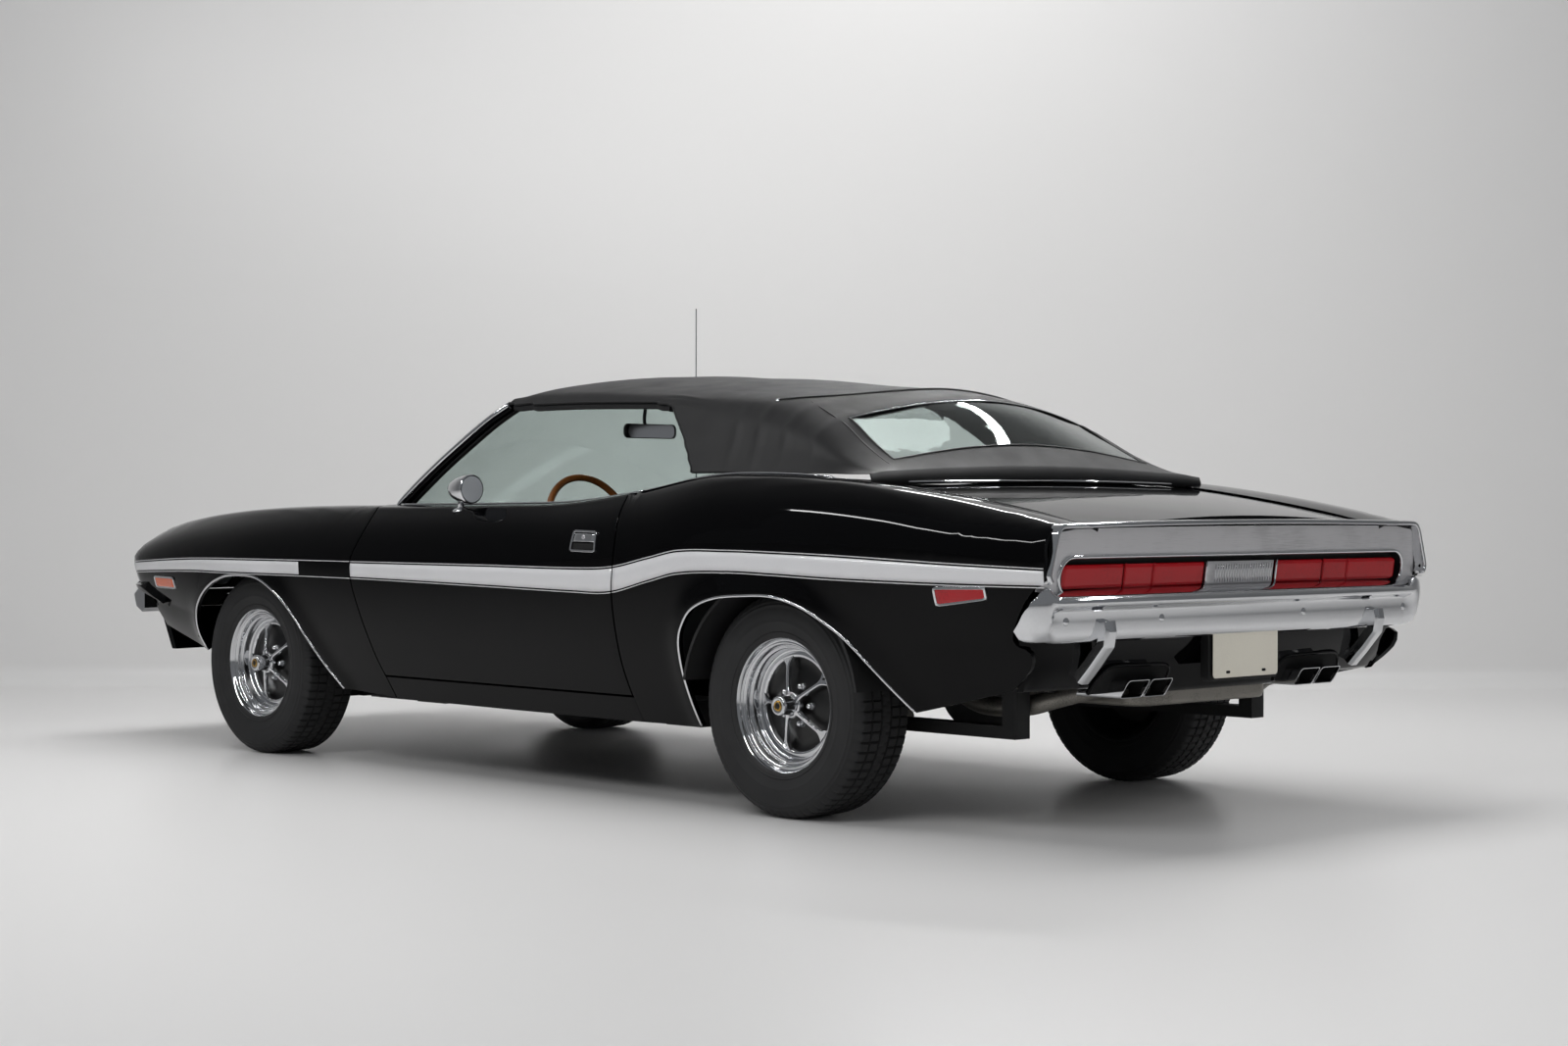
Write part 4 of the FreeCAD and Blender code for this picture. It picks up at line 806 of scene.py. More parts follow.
def oval(width: float, height: float, count: int = 12) -> list[Point]:
    """Give an oval section's points."""
    return [(width / 2 * math.cos(turn), height / 2 * math.sin(turn)) for turn in turns(count)]


def rounded_box(width: float, height: float, radius: float, steps: int) -> list[Point]:
    """Give the outline of a rectangle with rounded corners about the origin.

    Args:
        width: its size sideways.
        height: its size upward.
        radius: the corners' radius.
        steps: steps round each corner.

    Returns:
        The outline's points.
    """
    out = []
    for index, (a, b) in enumerate(((1, 1), (-1, 1), (-1, -1), (1, -1))):
        for step in range(steps + 1):
            turn = math.pi / 2 * (index + step / steps)
            out.append((a * (width / 2 - radius) + radius * math.cos(turn),
                        b * (height / 2 - radius) + radius * math.sin(turn)))
    return out


def dome(name: str, centre: Vector, axis: Vector, radius: float, height: float) -> bpy.types.Mesh:
    """Make a low round head on an axis.

    Args:
        name: the mesh's name.
        centre: the middle of its foot.
        axis: the way that it stands out.
        radius: its foot's radius.
        height: how far it stands out.

    Returns:
        The head's mesh.
    """
    axis = axis.normalized()
    side = axis.cross(Vector((0, 0.3, 1))).normalized()
    up = axis.cross(side)
    rings, around = 5, 20
    rows = []
    for ring in range(rings):
        turn = math.pi / 2 * ring / rings
        r, out = radius * math.cos(turn), height * math.sin(turn)
        middle = centre + axis * out
        rows.append([middle + side * (r * math.cos(a)) + up * (r * math.sin(a)) for a in turns(around)])
    return grid_mesh(name, rows, capped=True, wrap_columns=True)


# Body sides

@dataclass(frozen=True)
class BodySides:
    """Fenders, doors and quarter panels, with the rockers and the doors' inner trim."""

    form: BodyForm = FORM
    around: int = 150
    outward: int = 22
    nose_end_share: float = 0.972

    def ring_path(self, corners: Sequence[Sequence[Point]]) -> list[Point]:
        """Join the runs of a panel's outline, each corner on a sample.

        Args:
            corners: the outline's runs of points, in order.

        Returns:
            As many points as the panel has round its wheel opening.
        """
        lengths = [sum(math.dist(a, b) for a, b in zip(run, run[1:])) for run in corners]
        total, out = sum(lengths), []
        left = self.around
        for index, run in enumerate(corners):
            last_run = index == len(corners) - 1
            count = left if last_run else max(3, round(self.around * lengths[index] / total))
            left -= count
            samples = even(run, count + (0 if last_run else 1))
            out += samples if last_run else samples[:-1]
        return out

    def wheel_panel(self, inner: Sequence[Point], outer: Sequence[Point]) -> list[list[Vector]]:
        """Give a panel's rows of points from its wheel opening to its outline, with a flared lip.

        Args:
            inner: points round the wheel opening.
            outer: points round the outline, one for each.

        Returns:
            Rows of points on the skin.
        """
        rows = []
        for row in range(self.outward):
            t = (row / (self.outward - 1)) ** 1.25
            rows.append([self.form.point(*between(a, b, t)) for a, b in zip(inner, outer)])
        return rows

    def opening(self, shares: Sequence[Row], axle_x: float) -> list[Point]:
        """Give a wheel opening's points above the sill, from front to rear."""
        dense = self.form.arch(shares, axle_x, 400)
        return even([(x, z) for x, z in dense if z > self.form.sill_z(x)], self.around)

    def flange_run(self, x_start: float, x_end: float) -> list[Point]:
        """Give the top edge of a panel."""
        return [(x, self.form.top_w(x)) for x in spaced(x_start, x_end, 60)]

    def shut_run(self, shares: Sequence[Row], shift: float, low: float, high: float) -> list[Point]:
        """Give a shut line's points from one unrolled height to another."""
        return [(self.form.door_line(shares, w) + shift, w) for w in spaced(low, high, 40)]

    def fender(self) -> list[list[Vector]]:
        """Give the front fender's rows."""
        form, gap = self.form, self.form.panel_gap / 2
        length, height = form.half_length, form.hip_height
        inner = self.opening(FRONT_ARCH_SHARES, form.front_axle_x)
        end_x = self.nose_end_share * length
        corner_x, notch_x, notch_z = 0.897 * length, 0.912 * length, 0.597 * height
        top_x = form.door_line(DOOR_FRONT_SHARES, 0.96 * height) + gap
        foot_x = form.door_line(DOOR_FRONT_SHARES, 0.25 * height) + gap
        outer = self.ring_path([
            [(corner_x, form.sill_z(corner_x)), (notch_x, notch_z)],
            [(notch_x, notch_z), (end_x, notch_z)],
            [(end_x, notch_z), (end_x, form.top_w(end_x))],
            self.flange_run(end_x, top_x),
            self.shut_run(DOOR_FRONT_SHARES, gap, form.top_w(top_x), form.sill_z(foot_x)),
        ])
        return self.wheel_panel(inner, outer)

    def quarter(self) -> list[list[Vector]]:
        """Give the quarter panel's rows."""
        form, gap = self.form, self.form.panel_gap / 2
        inner = self.opening((*REAR_ARCH_SHARES, (-1.76, -0.1)), form.rear_axle_x)
        end_x = -2.391
        foot_x = form.door_line(DOOR_REAR_SHARES, 0.24 * form.hip_height) - gap
        top_x = form.door_line(DOOR_REAR_SHARES, form.hip_height) - gap
        tail = [
            (-2.402, 0.72), (-2.369, 0.701), (-2.335, 0.666), (-2.308, 0.627), (-2.279, 0.581), (-2.271, 0.56),
            (-2.28, 0.541), (-2.325, 0.531), (-2.327, 0.49), (-2.292, 0.454), (-2.246, 0.418),
        ]
        outer = self.ring_path([
            self.shut_run(DOOR_REAR_SHARES, -gap, form.sill_z(foot_x), form.top_w(top_x)),
            self.flange_run(top_x, end_x),
            [(end_x, form.top_w(end_x)), (end_x, 0.83), (-2.4, 0.78), tail[0]],
            tail,
        ])
        return self.wheel_panel(inner, outer)

    def rocker(self) -> list[list[Vector]]:
        """Give the rows of the sill's outer face below the door."""
        form, gap = self.form, self.form.panel_gap / 2
        top, rows = form.door_bottom - gap, []
        for t in spaced(0.0, 1.0, 7):
            rear = form.door_line(DOOR_REAR_SHARES, top * t + 0.24 * form.hip_height * (1 - t)) - gap
            front = form.door_line(DOOR_FRONT_SHARES, top * t + 0.25 * form.hip_height * (1 - t)) - gap
            rows.append([form.point(x, form.sill_z(x) * (1 - t) + top * t) for x in spaced(rear, front, 89)])
        return rows

    def door(self) -> list[list[Vector]]:
        """Give the door skin's rows."""
        form, gap = self.form, self.form.panel_gap / 2
        rows = []
        low = form.door_bottom + gap
        belt_front, belt_rear = [form.door_line(shares, 0.8) for shares in (DOOR_FRONT_SHARES, DOOR_REAR_SHARES)]
        for t in spaced(0.0, 1.0, 63):
            points = []
            for s in spaced(0.0, 1.0, 99):
                middle = belt_front * (1 - s) + belt_rear * s
                w = low + (form.top_w(middle) - low) * t
                front = form.door_line(DOOR_FRONT_SHARES, w) - gap
                rear = form.door_line(DOOR_REAR_SHARES, w) + gap
                points.append(form.point(front + (rear - front) * s, w))
            rows.append(points)
        return rows

    def door_core(self) -> bpy.types.Mesh:
        """Give the door's inner box, with the flat face that its trim covers."""
        form = self.form
        inner_y, lap, hinge_lap = 0.744, 0.034, 0.112
        low, high = form.door_bottom + 0.02, 0.885 * form.hip_height
        rows, columns, flat = 16, 21, []
        for z in spaced(low, high, rows - 1):
            front = form.door_line(DOOR_FRONT_SHARES, z) - hinge_lap
            rear = form.door_line(DOOR_REAR_SHARES, z) + lap
            flat += [Vector((x, 0, z)) for x in spaced(front, rear, columns - 1)]
        faces, count = grid_faces(rows, columns), len(flat)
        inner = [Vector((p.x, inner_y, p.z)) for p in flat]
        outer = [Vector((p.x, form.side_y(p.x, min(p.z, form.edge_w(p.x))) - form.skin, p.z)) for p in flat]
        edge = [
            *range(columns), *range(2 * columns - 1, count, columns), *range(count - 2, count - columns - 1, -1),
            *range(count - 2 * columns, 0, -columns),
        ]
        walls = [(a, b, b + count, a + count) for a, b in zip(edge, edge[1:] + edge[:1])]
        return mesh_from("door_core", inner + outer, faces + [tuple(n + count for n in f) for f in faces] + walls)

    def build(self) -> None:
        """Build both sides."""
        panels = (
            ("front_fender", "car", self.fender()),
            ("quarter_panel", "car", self.quarter()),
            ("door", "door", self.door()),
        )
        rocker = self.rocker()
        for side, turn in TURNS:
            for panel, body, rows in panels:
                mesh = grid_mesh(f"{panel}_skin_{side}", [turn(row) for row in rows])
                rides = f"door_{side}" if body == "door" else body
                piece = finish_piece(mesh, ENAMEL, rides, [f"{panel}_{side}"])
                thicken(piece, self.form.skin)
            mesh = grid_mesh(f"rocker_skin_{side}", [turn(row) for row in rocker])
            thicken(finish_piece(mesh, ENAMEL), self.form.skin)
            core = self.door_core()
            if side == "right":
                core.transform(Matrix.Scale(-1, 4, Vector((0, 1, 0))))
                core.flip_normals()
            core.name = f"door_trim_{side}"
            round_edges(finish_piece(core, SEAT_VINYL, f"door_{side}"), 0.006)
            log.info("side %s: fender, door, rocker and quarter panel", side)


# Stripe and bright trim

@dataclass(frozen=True)
class SideTrim:
    """The white stripe with its pin lines, and the bright mouldings of one side and the other."""

    form: BodyForm = FORM
    upper: tuple[Row, ...] = (
        (-2.395, 0.753), (-2.03, 0.765), (-1.67, 0.778), (-1.4, 0.784), (-1.22, 0.786), (-1.005, 0.783),
        (-0.87, 0.76), (-0.69, 0.728), (-0.5, 0.721), (-0.08, 0.721), (0.71, 0.719), (1.42, 0.717), (1.82, 0.712),
        (2.36, 0.688),
    )
    lower: tuple[Row, ...] = (
        (-2.395, 0.7), (-2.03, 0.701), (-1.67, 0.706), (-1.4, 0.714), (-1.22, 0.717), (-1.005, 0.709),
        (-0.87, 0.682),
        (-0.69, 0.644), (-0.5, 0.642), (-0.08, 0.648), (0.71, 0.658), (1.51, 0.66), (1.82, 0.66), (2.36, 0.645),
    )
    pin_width: float = 0.0024
    pin_gap: float = 0.005
    bare_end: float = 1.03
    front_end: float = 2.355
    rear_end: float = -2.395
    proud: float = 0.0007

    def strip(self, x_start: Callable[[float], float], x_end: Callable[[float], float], low: float, high: float,
              ) -> list[list[Vector]]:
        """Give a strip's rows between two shut lines.

        Args:
            x_start: gives the rear end's x at a height.
            x_end: gives the front end's x at a height.
            low: the strip's lower edge, from 0 at the stripe's foot to 1 at its top, with metres added.
            high: its upper edge, in the same way.
        """
        rows = []
        for t in spaced(0.0, 1.0, 3):
            points = []
            for s in spaced(0.0, 1.0, 120):
                x = x_start(0.7) * (1 - s) + x_end(0.7) * s
                foot, top = follow(self.lower, x, 1), follow(self.upper, x, 1)
                edges = [foot + offset if offset >= 0 else top + offset for offset in (low, high)]
                w = edges[0] + (edges[1] - edges[0]) * t
                x = x_start(w) * (1 - s) + x_end(w) * s
                points.append(self.form.point(x, w, self.proud))
            rows.append(points)
        return rows

    def stripe(self, side: str, turn: Turn) -> None:
        """Lay the stripe on one side. On the fender its pin lines run on past the bare field.

        Args:
            side: left or right.
            turn: puts the left side's points on that side.
        """
        form, gap = self.form, self.form.panel_gap / 2
        front, rear = DOOR_FRONT_SHARES, DOOR_REAR_SHARES
        pin, step = self.pin_width, self.pin_gap
        for name, body, start, pin_start, end in (
            ("fender_front", "car", lambda w: self.bare_end, lambda w: form.door_line(front, w) + gap,
             lambda w: self.front_end),
            ("door", f"door_{side}", lambda w: form.door_line(rear, w) + gap,
             lambda w: form.door_line(rear, w) + gap, lambda w: form.door_line(front, w) - gap),
            ("quarter", "car", lambda w: self.rear_end, lambda w: self.rear_end,
             lambda w: form.door_line(rear, w) - gap),
        ):
            self.lay(f"stripe_{name}_{side}", body, self.strip(start, end, pin + step, -pin - step), turn)
            self.lay(f"pin_low_{name}_{side}", body, self.strip(pin_start, end, 0.0, pin), turn)
            self.lay(f"pin_high_{name}_{side}", body, self.strip(pin_start, end, -pin, -1e-9), turn)

    def lay(self, name: str, body: str, rows: list[list[Vector]], turn: Turn,
            ) -> None:
        """Lay one strip of film."""
        piece = finish_piece(grid_mesh(name, [turn(row) for row in rows]), STRIPE_WHITE, body)
        wall = piece.modifiers.new("film", "SOLIDIFY")
        wall.thickness = self.proud * 1.6
        wall.offset = -1.0

    def arch_moulding(self, side: str, turn: Turn) -> None:
        """Run a bright moulding round both wheel openings.

        Args:
            side: left or right.
            turn: puts the left side's points on that side.
        """
        form = self.form
        for name, shares, axle_x in (
            ("front", FRONT_ARCH_SHARES, form.front_axle_x), ("rear", REAR_ARCH_SHARES, form.rear_axle_x),
        ):
            opening = [(x, z) for x, z in form.arch(shares, axle_x, 400) if z > form.sill_z(x) + 0.004]
            path = [form.point(x, z, 0.0008) for x, z in even(opening, 130)]
            mesh = sweep(f"arch_moulding_{name}_{side}", turn(path), oval(0.0085, 0.0058, 10), Vector((0, 1, 0)))
            finish_piece(mesh, CHROME)

    def belt(self, side: str, turn: Turn) -> None:
        """Run a bright bead along the door's top, over the hip and round the top's foot.

        Args:
            side: left or right.
            turn: puts the left side's points on that side.
        """
        form, gap = self.form, self.form.panel_gap / 2
        edge = form.door_line(DOOR_REAR_SHARES, 0.93)

        def crown(x: float) -> Vector:
            return form.point(x, form.edge_w(x) + form.roll + 0.004, 0.0022)

        door_path = [crown(x) for x in spaced(edge + gap, 0.605, 60)]
        mesh = sweep(f"belt_bead_door_{side}", turn(door_path), oval(0.011, 0.008, 10))
        finish_piece(mesh, CHROME, f"door_{side}")
        corner_x, corner_steps = -1.5, 24
        hip = [crown(x) for x in spaced(edge - gap, corner_x, 50)]
        corner = []
        for step in range(1, corner_steps + 1):
            turn_by = math.pi / 2 * step / corner_steps
            x = corner_x - 0.155 * math.sin(turn_by) ** 0.8
            y = 0.09 + (hip[-1].y - 0.09) * math.cos(turn_by) ** 0.55 if step < corner_steps else 0.0
            corner.append((x, y))
        rear = [Vector((x, y, max(form.top_z(x, min(y, form.flange_y(x))), 0.0) + 0.004)) for x, y in corner]
        finish_piece(sweep(f"belt_bead_{side}", turn(hip + rear), oval(0.011, 0.008, 10)), CHROME)

    def build(self) -> None:
        """Build the trim of both sides."""
        for side, turn in TURNS:
            self.stripe(side, turn)
            self.arch_moulding(side, turn)
            self.belt(side, turn)
        log.info("stripe, arch mouldings and belt beads")


# Tail

@dataclass(frozen=True)
class Tail:
    """The silver tail panel with its lamps and frame, the bumper, the valance, the plate and the tips."""

    form: BodyForm = FORM
    top_z: float = 0.8595
    low_z: float = 0.6868
    top_x: float = -2.39
    low_x: float = -2.366
    lamp_half: float = 0.806
    lamp_low: float = 0.6815
    lamp_high: float = 0.7715
    recess: float = 0.03
    end_steps: int = 13
    lip_end: float = 0.838
    lip_fade: float = 0.035
    bumper_path: tuple[Point, ...] = (
        (-2.429, 0.0), (-2.427, 0.3), (-2.4205, 0.6), (-2.412, 0.76), (-2.403, 0.84), (-2.39, 0.893),
        (-2.368, 0.922), (-2.33, 0.934), (-2.28, 0.938), (-2.23, 0.94),
    )
    end_line: tuple[Point, ...] = (
        (0.552, -2.345), (0.56, -2.326), (0.572, -2.3135), (0.584, -2.3125), (0.609, -2.333), (0.649, -2.363),
        (0.68, -2.383), (0.69, -2.388), (0.703, -2.399),
    )

    def face_x(self, z: float) -> float:
        """Give the x of the panel's face at a height."""
        return self.low_x + (self.top_x - self.low_x) * (z - self.low_z) / (self.top_z - self.low_z)

    def stadium(self, grow: float, count: int = 40) -> list[Point]:
        """Give the lamp opening's outline of y and z, grown by a margin.

        Args:
            grow: the margin.
            count: points along each straight edge.

        Returns:
            The outline's points.
        """
        middle = (self.lamp_low + self.lamp_high) / 2
        radius = (self.lamp_high - self.lamp_low) / 2 + grow
        half = self.lamp_half - (self.lamp_high - self.lamp_low) / 2
        out = [(y, middle + radius) for y in spaced(half, -half, count - 1)]
        for turn in spaced(0.0, math.pi, self.end_steps)[1:-1]:
            out.append((-half - radius * math.sin(turn), middle + radius * math.cos(turn)))
        out += [(-y, 2 * middle - z) for y, z in out]
        return out

    def outline(self, count: int = 40) -> list[Point]:
        """Give the panel's outer edge, point for point with the lamp opening.

        Args:
            count: points along each straight edge.

        Returns:
            The outline's points.
        """
        half = self.lamp_half - (self.lamp_high - self.lamp_low) / 2
        low = self.low_z - 0.012
        high = self.top_z - 0.006

        def end_y(z: float) -> float:
            return 0.884 - 0.3 * (z - 0.74)

        shares = spaced(0.0, 1.0, self.end_steps)[1:-1]
        left = [high - (high - low) * share ** 1.15 for share in shares]
        right = [low + (high - low) * (1 - (1 - share) ** 1.15) for share in shares]
        out = [(y, self.top_z - 0.004 + 0.005 * (1 - (y / half) ** 2)) for y in spaced(half, -half, count - 1)]
        out += [(-end_y(z), z) for z in left]
        out += [(y, low) for y in spaced(-half, half, count - 1)]
        return out + [(end_y(z), z) for z in right]

    def place(self, point: Point, out: float = 0.0) -> Vector:
        """Put a point of y and z on the tail's face, moved rearward by out."""
        y, z = point
        return Vector((self.face_x(z) - out, y, z))

    def panel(self) -> None:
        """Build the silver panel, its dark recess and the lamp's bezel."""
        inner, outer = self.stadium(0.01), self.outline()
        rows = [[self.place(between(a, b, t)) for a, b in zip(inner, outer)] for t in spaced(0.0, 1.0, 4)]
        mesh = grid_mesh("tail_panel_skin", rows, wrap_columns=True)
        thicken(finish_piece(mesh, TAIL_SILVER, "car", ["tail_panel"]), 0.004, 0.0008)
        well = [[self.place(p, -depth) for p in inner] for depth in (-0.001, 0.012, self.recess)]
        mesh = grid_mesh("lamp_well", well, wrap_columns=True)
        floor = flat_mesh("lamp_well_floor", well[-1])
        thicken(finish_piece(mesh, GRILLE_BLACK), 0.002, 0.0004)
        thicken(finish_piece(floor, GRILLE_BLACK), 0.002, 0.0004)
        path = [self.place(p, 0.002) for p in self.stadium(0.009)]
        finish_piece(sweep("lamp_bezel", path, oval(0.011, 0.011, 12), Vector((1, 0, 0)), closed=True), CHROME)

    def lens(
        self, name: str, y_start: float, y_end: float, finish: Finish, rise: float, margin: float = 0.0125,
    ) -> None:
        """Build one lens with a cushioned face and softly rounded corners.

        Args:
            name: the piece's name.
            y_start: its inner end.
            y_end: its outer end.
            finish: its finish.
            rise: how far its face swells.
            margin: how far it stays inside the lamp's height.
        """
        low, high = self.lamp_low + margin, self.lamp_high - margin
        radius = 0.014 if abs(y_end) > 0.6 else 0.003
        rows, soft = [], 0.008
        for v in spaced(0.0, 1.0, 12):
            z = low + (high - low) * v
            points = []
            for u in spaced(0.0, 1.0, 40):
                y = y_start + (y_end - y_start) * u
                pull = max(0.0, abs(v - 0.5) * 2 - 1 + 2 * radius / (high - low)) * (high - low) / 2
                if radius > 0.01:
                    y -= math.copysign(1.0, y_end) * (radius - math.sqrt(max(0.0, radius ** 2 - pull ** 2))) * u
                edge = min(1.0, min(u, 1 - u) * abs(y_end - y_start) / soft, min(v, 1 - v) * (high - low) / soft)
                puff = rise * (math.sqrt(1 - (1 - edge) ** 2) - 1)
                points.append(self.place((y, z), puff - 0.004))
            rows.append(points)
        thicken(finish_piece(grid_mesh(name, rows), finish, "car", ["tail_lamps"]), 0.016, 0.0006)

    def lamps(self) -> None:
        """Build both red lamps in three parts each and the ribbed centre."""
        for side, sign in SIDES:
            for part, start, end, rise in (
                ("inner", 0.171, 0.404, 0.006), ("middle", 0.4065, 0.5285, 0.004), ("outer", 0.531, 0.789, 0.006),
            ):
                self.lens(f"tail_lens_{part}_{side}", sign * start, sign * end, RED_ACRYLIC, rise)
            for edge in (0.1665, 0.405, 0.53):
                heights = spaced(self.lamp_low + 0.01, self.lamp_high - 0.01, 4)
                path = [self.place((sign * edge, z), -0.002) for z in heights]
                width, finish = (0.006, CHROME) if edge < 0.2 else (0.0022, RED_ACRYLIC)
                name = f"lamp_divider_{round(edge * 1000)}_{side}"
                finish_piece(sweep(name, path, oval(width, width * 1.2, 8), Vector((1, 0, 0))), finish)
        self.lens("lamp_centre", -0.16, 0.16, TAIL_SILVER, 0.004, 0.011)
        for index, y in enumerate(spaced(-0.132, 0.132, 22)):
            path = [self.place((y, z), 0.0052) for z in spaced(self.lamp_low + 0.02, self.lamp_high - 0.02, 3)]
            finish_piece(sweep(f"centre_rib_{index + 1}", path, oval(0.0034, 0.003, 8), Vector((1, 0, 0))), CHROME)

    def frame_trim(self) -> None:
        """Build the bright strip on the deck's edge and the frame down both ends of the panel."""
        half, path = 0.735, []
        for y in spaced(half, -half, 60):
            bow = 1 - (y / half) ** 2
            path.append(Vector((-2.403 - 0.004 * bow, y, 0.8665 + 0.007 * bow)))
        strip = [(-0.01, -0.007), (0.01, -0.007), (0.011, -0.002), (0.008, 0.005), (0.0, 0.007), (-0.008, 0.006)]
        round_edges(finish_piece(sweep("deck_edge_strip", path, strip), CHROME, "deck_lid"), 0.0015, 3)
        for side, turn in TURNS:
            corner = (
                (0.712, 0.8655), (0.775, 0.865), (0.824, 0.864), (0.842, 0.86), (0.853, 0.849), (0.861, 0.834),
                (0.876, 0.785), (0.889, 0.742), (0.889, 0.726), (0.88, 0.713),
            )
            smooth = [Vector((-2.405, y, z)) for y, z in curve_through(corner, 70)]
            section = [
                (-0.004, -0.008), (0.004, -0.008), (0.007, -0.004), (0.007, 0.028), (-0.007, 0.028),
                (-0.007, -0.004),
            ]
            mesh = sweep(f"tail_frame_{side}", turn(smooth), section, Vector((1, 0, 0)))
            round_edges(finish_piece(mesh, CHROME), 0.002, 3)

    def bumper_rows(self) -> list[list[Vector]]:
        """Give the bumper's rows across the car: a rolled lip over a tall face, and plain swept ends."""
        lip = ((0.066, 0.694), (0.034, 0.686), (0.014, 0.677), (0.004, 0.669), (0.000, 0.661), (0.001, 0.653),
               (0.007, 0.646), (0.02, 0.641), (0.027, 0.632), (0.027, 0.608), (0.029, 0.582), (0.035, 0.56),
               (0.046, 0.55), (0.06, 0.548))
        plain = ((0.044, 0.703), (0.024, 0.702), (0.011, 0.698), (0.004, 0.688), (0.001, 0.675), (0.000, 0.662),
                 (0.000, 0.65), (0.001, 0.64), (0.003, 0.626), (0.006, 0.608), (0.012, 0.584), (0.023, 0.562),
                 (0.036, 0.554), (0.05, 0.552))
        left = curve_through(self.bumper_path, 200)
        lengths = [0.0]
        for a, b in zip(left, left[1:]):
            lengths.append(lengths[-1] + math.dist(a, b))
        rows = []
        for (lip_in, lip_z), (end_in, end_z) in zip(lip, plain):
            end_x = follow(self.end_line, end_z, 1)
            reach = next(length for (x, y), length in zip(left, lengths) if x >= end_x and y > 0.8)
            half = []
            for s in spaced(0.0, reach, 89):
                index = next((n for n, length in enumerate(lengths) if length > s), len(lengths) - 1)
                t = (s - lengths[index - 1]) / (lengths[index] - lengths[index - 1])
                x, y = between(left[index - 1], left[index], t)
                way = Vector(left[index]) - Vector(left[index - 1])
                inward = Vector((way.y, -way.x)).normalized()
                blend = min(1.0, max(0.0, (s - self.lip_end) / self.lip_fade))
                inset, z = between((lip_in, lip_z), (end_in, end_z), blend * blend * (3 - 2 * blend))
                half.append(Vector((x + inward.x * inset, y + inward.y * inset, z)))
            rows.append(whole_row(half))
        return rows

    def bumper(self) -> None:
        """Build the bumper with its bolts and guards."""
        rows = self.bumper_rows()
        thicken(finish_piece(grid_mesh("rear_bumper_bar", rows), CHROME, "car", ["rear_bumper"]), 0.0035, 0.0012)
        for index, y in enumerate((0.79, 0.4, -0.26, -0.815)):
            near = min(rows[9], key=lambda p: abs(p.y - y))
            place = near + Vector((0.001, 0, 0))
            finish_piece(dome(f"bumper_bolt_{index + 1}", place, Vector((-1, 0, 0.05)), 0.0115, 0.0055), CHROME)
        for side, sign in SIDES:
            spine = [Vector((x, sign * 0.64, z)) for x, z in (
                (-2.399, 0.606), (-2.404, 0.578), (-2.398, 0.542), (-2.352, 0.488), (-2.308, 0.44),
            )]
            section = [
                (-0.023, -0.02), (0.023, -0.02), (0.023, 0.008), (0.014, 0.016), (-0.014, 0.016), (-0.023, 0.008),
            ]
            mesh = sweep(f"rear_guard_{side}", spine, section, Vector((-0.8, 0, -0.6)))
            round_edges(finish_piece(mesh, CHROME), 0.0025, 3, 20.0)

    def valance(self) -> None:
        """Build the painted valance that wraps round to the quarters, with a brow over each pair of tips and a
        painted-shade sheet under each brow.
        """
        plan = curve_through(((-2.362, 0.0), (-2.36, 0.35), (-2.354, 0.6), (-2.345, 0.74), (-2.33, 0.82),
                              (-2.31, 0.856), (-2.285, 0.872)), 80)
        profile = ((0.000, 0.672), (0.000, 0.6), (0.0031, 0.56), (0.015, 0.52), (0.04, 0.47), (0.06, 0.432),
                   (0.073, 0.404), (0.083, 0.392), (0.098, 0.388), (0.108, 0.39))
        rows = []
        onward = plan[1:] + [between(plan[-2], plan[-1], 2.0)]
        for inset, z in profile:
            half = []
            for (x, y), (x1, y1) in zip(plan, onward):
                way = Vector((x1 - x, y1 - y)).normalized()
                rise = 0.024 * min(1.0, max(0.0, (abs(y) - 0.26) / 0.3)) * max(0.0, (0.47 - z) / 0.08)
                half.append(Vector((x + way.y * inset, y - way.x * inset * 0.5, z + rise)))
            rows.append(whole_row(half))
        mesh = grid_mesh("rear_valance_skin", rows)
        thicken(finish_piece(mesh, ENAMEL, "car", ["rear_valance"]), 0.004, 0.001)
        for side, sign in SIDES:
            brow = curve_through(((0.585, 0.398), (0.578, 0.43), (0.555, 0.462), (0.52, 0.476), (0.4, 0.4755),
                                  (0.3, 0.473), (0.268, 0.46), (0.262, 0.432), (0.27, 0.398)), 70)
            fall = [(z, inset) for inset, z in reversed(profile)]
            path = [Vector((-2.36 + follow(fall, z, 1), sign * y, z)) for y, z in brow]
            section = [
                (-0.006, -0.006), (0.006, -0.006), (0.005, 0.002), (0.002, 0.005), (-0.002, 0.005), (-0.005, 0.002),
            ]
            # Painted shade: a near-black sheet under each brow, standing in for the shaded cut-out over the tips.
            floor = [point - Vector((0.0015, 0, 0)) for point in path]
            finish_piece(flat_mesh(f"tip_opening_shade_{side}", floor), PAINTED_SHADE)
            mesh = sweep(f"tip_brow_{side}", path, section, Vector((-1, 0, 0)))
            round_edges(finish_piece(mesh, ENAMEL), 0.003, 3)

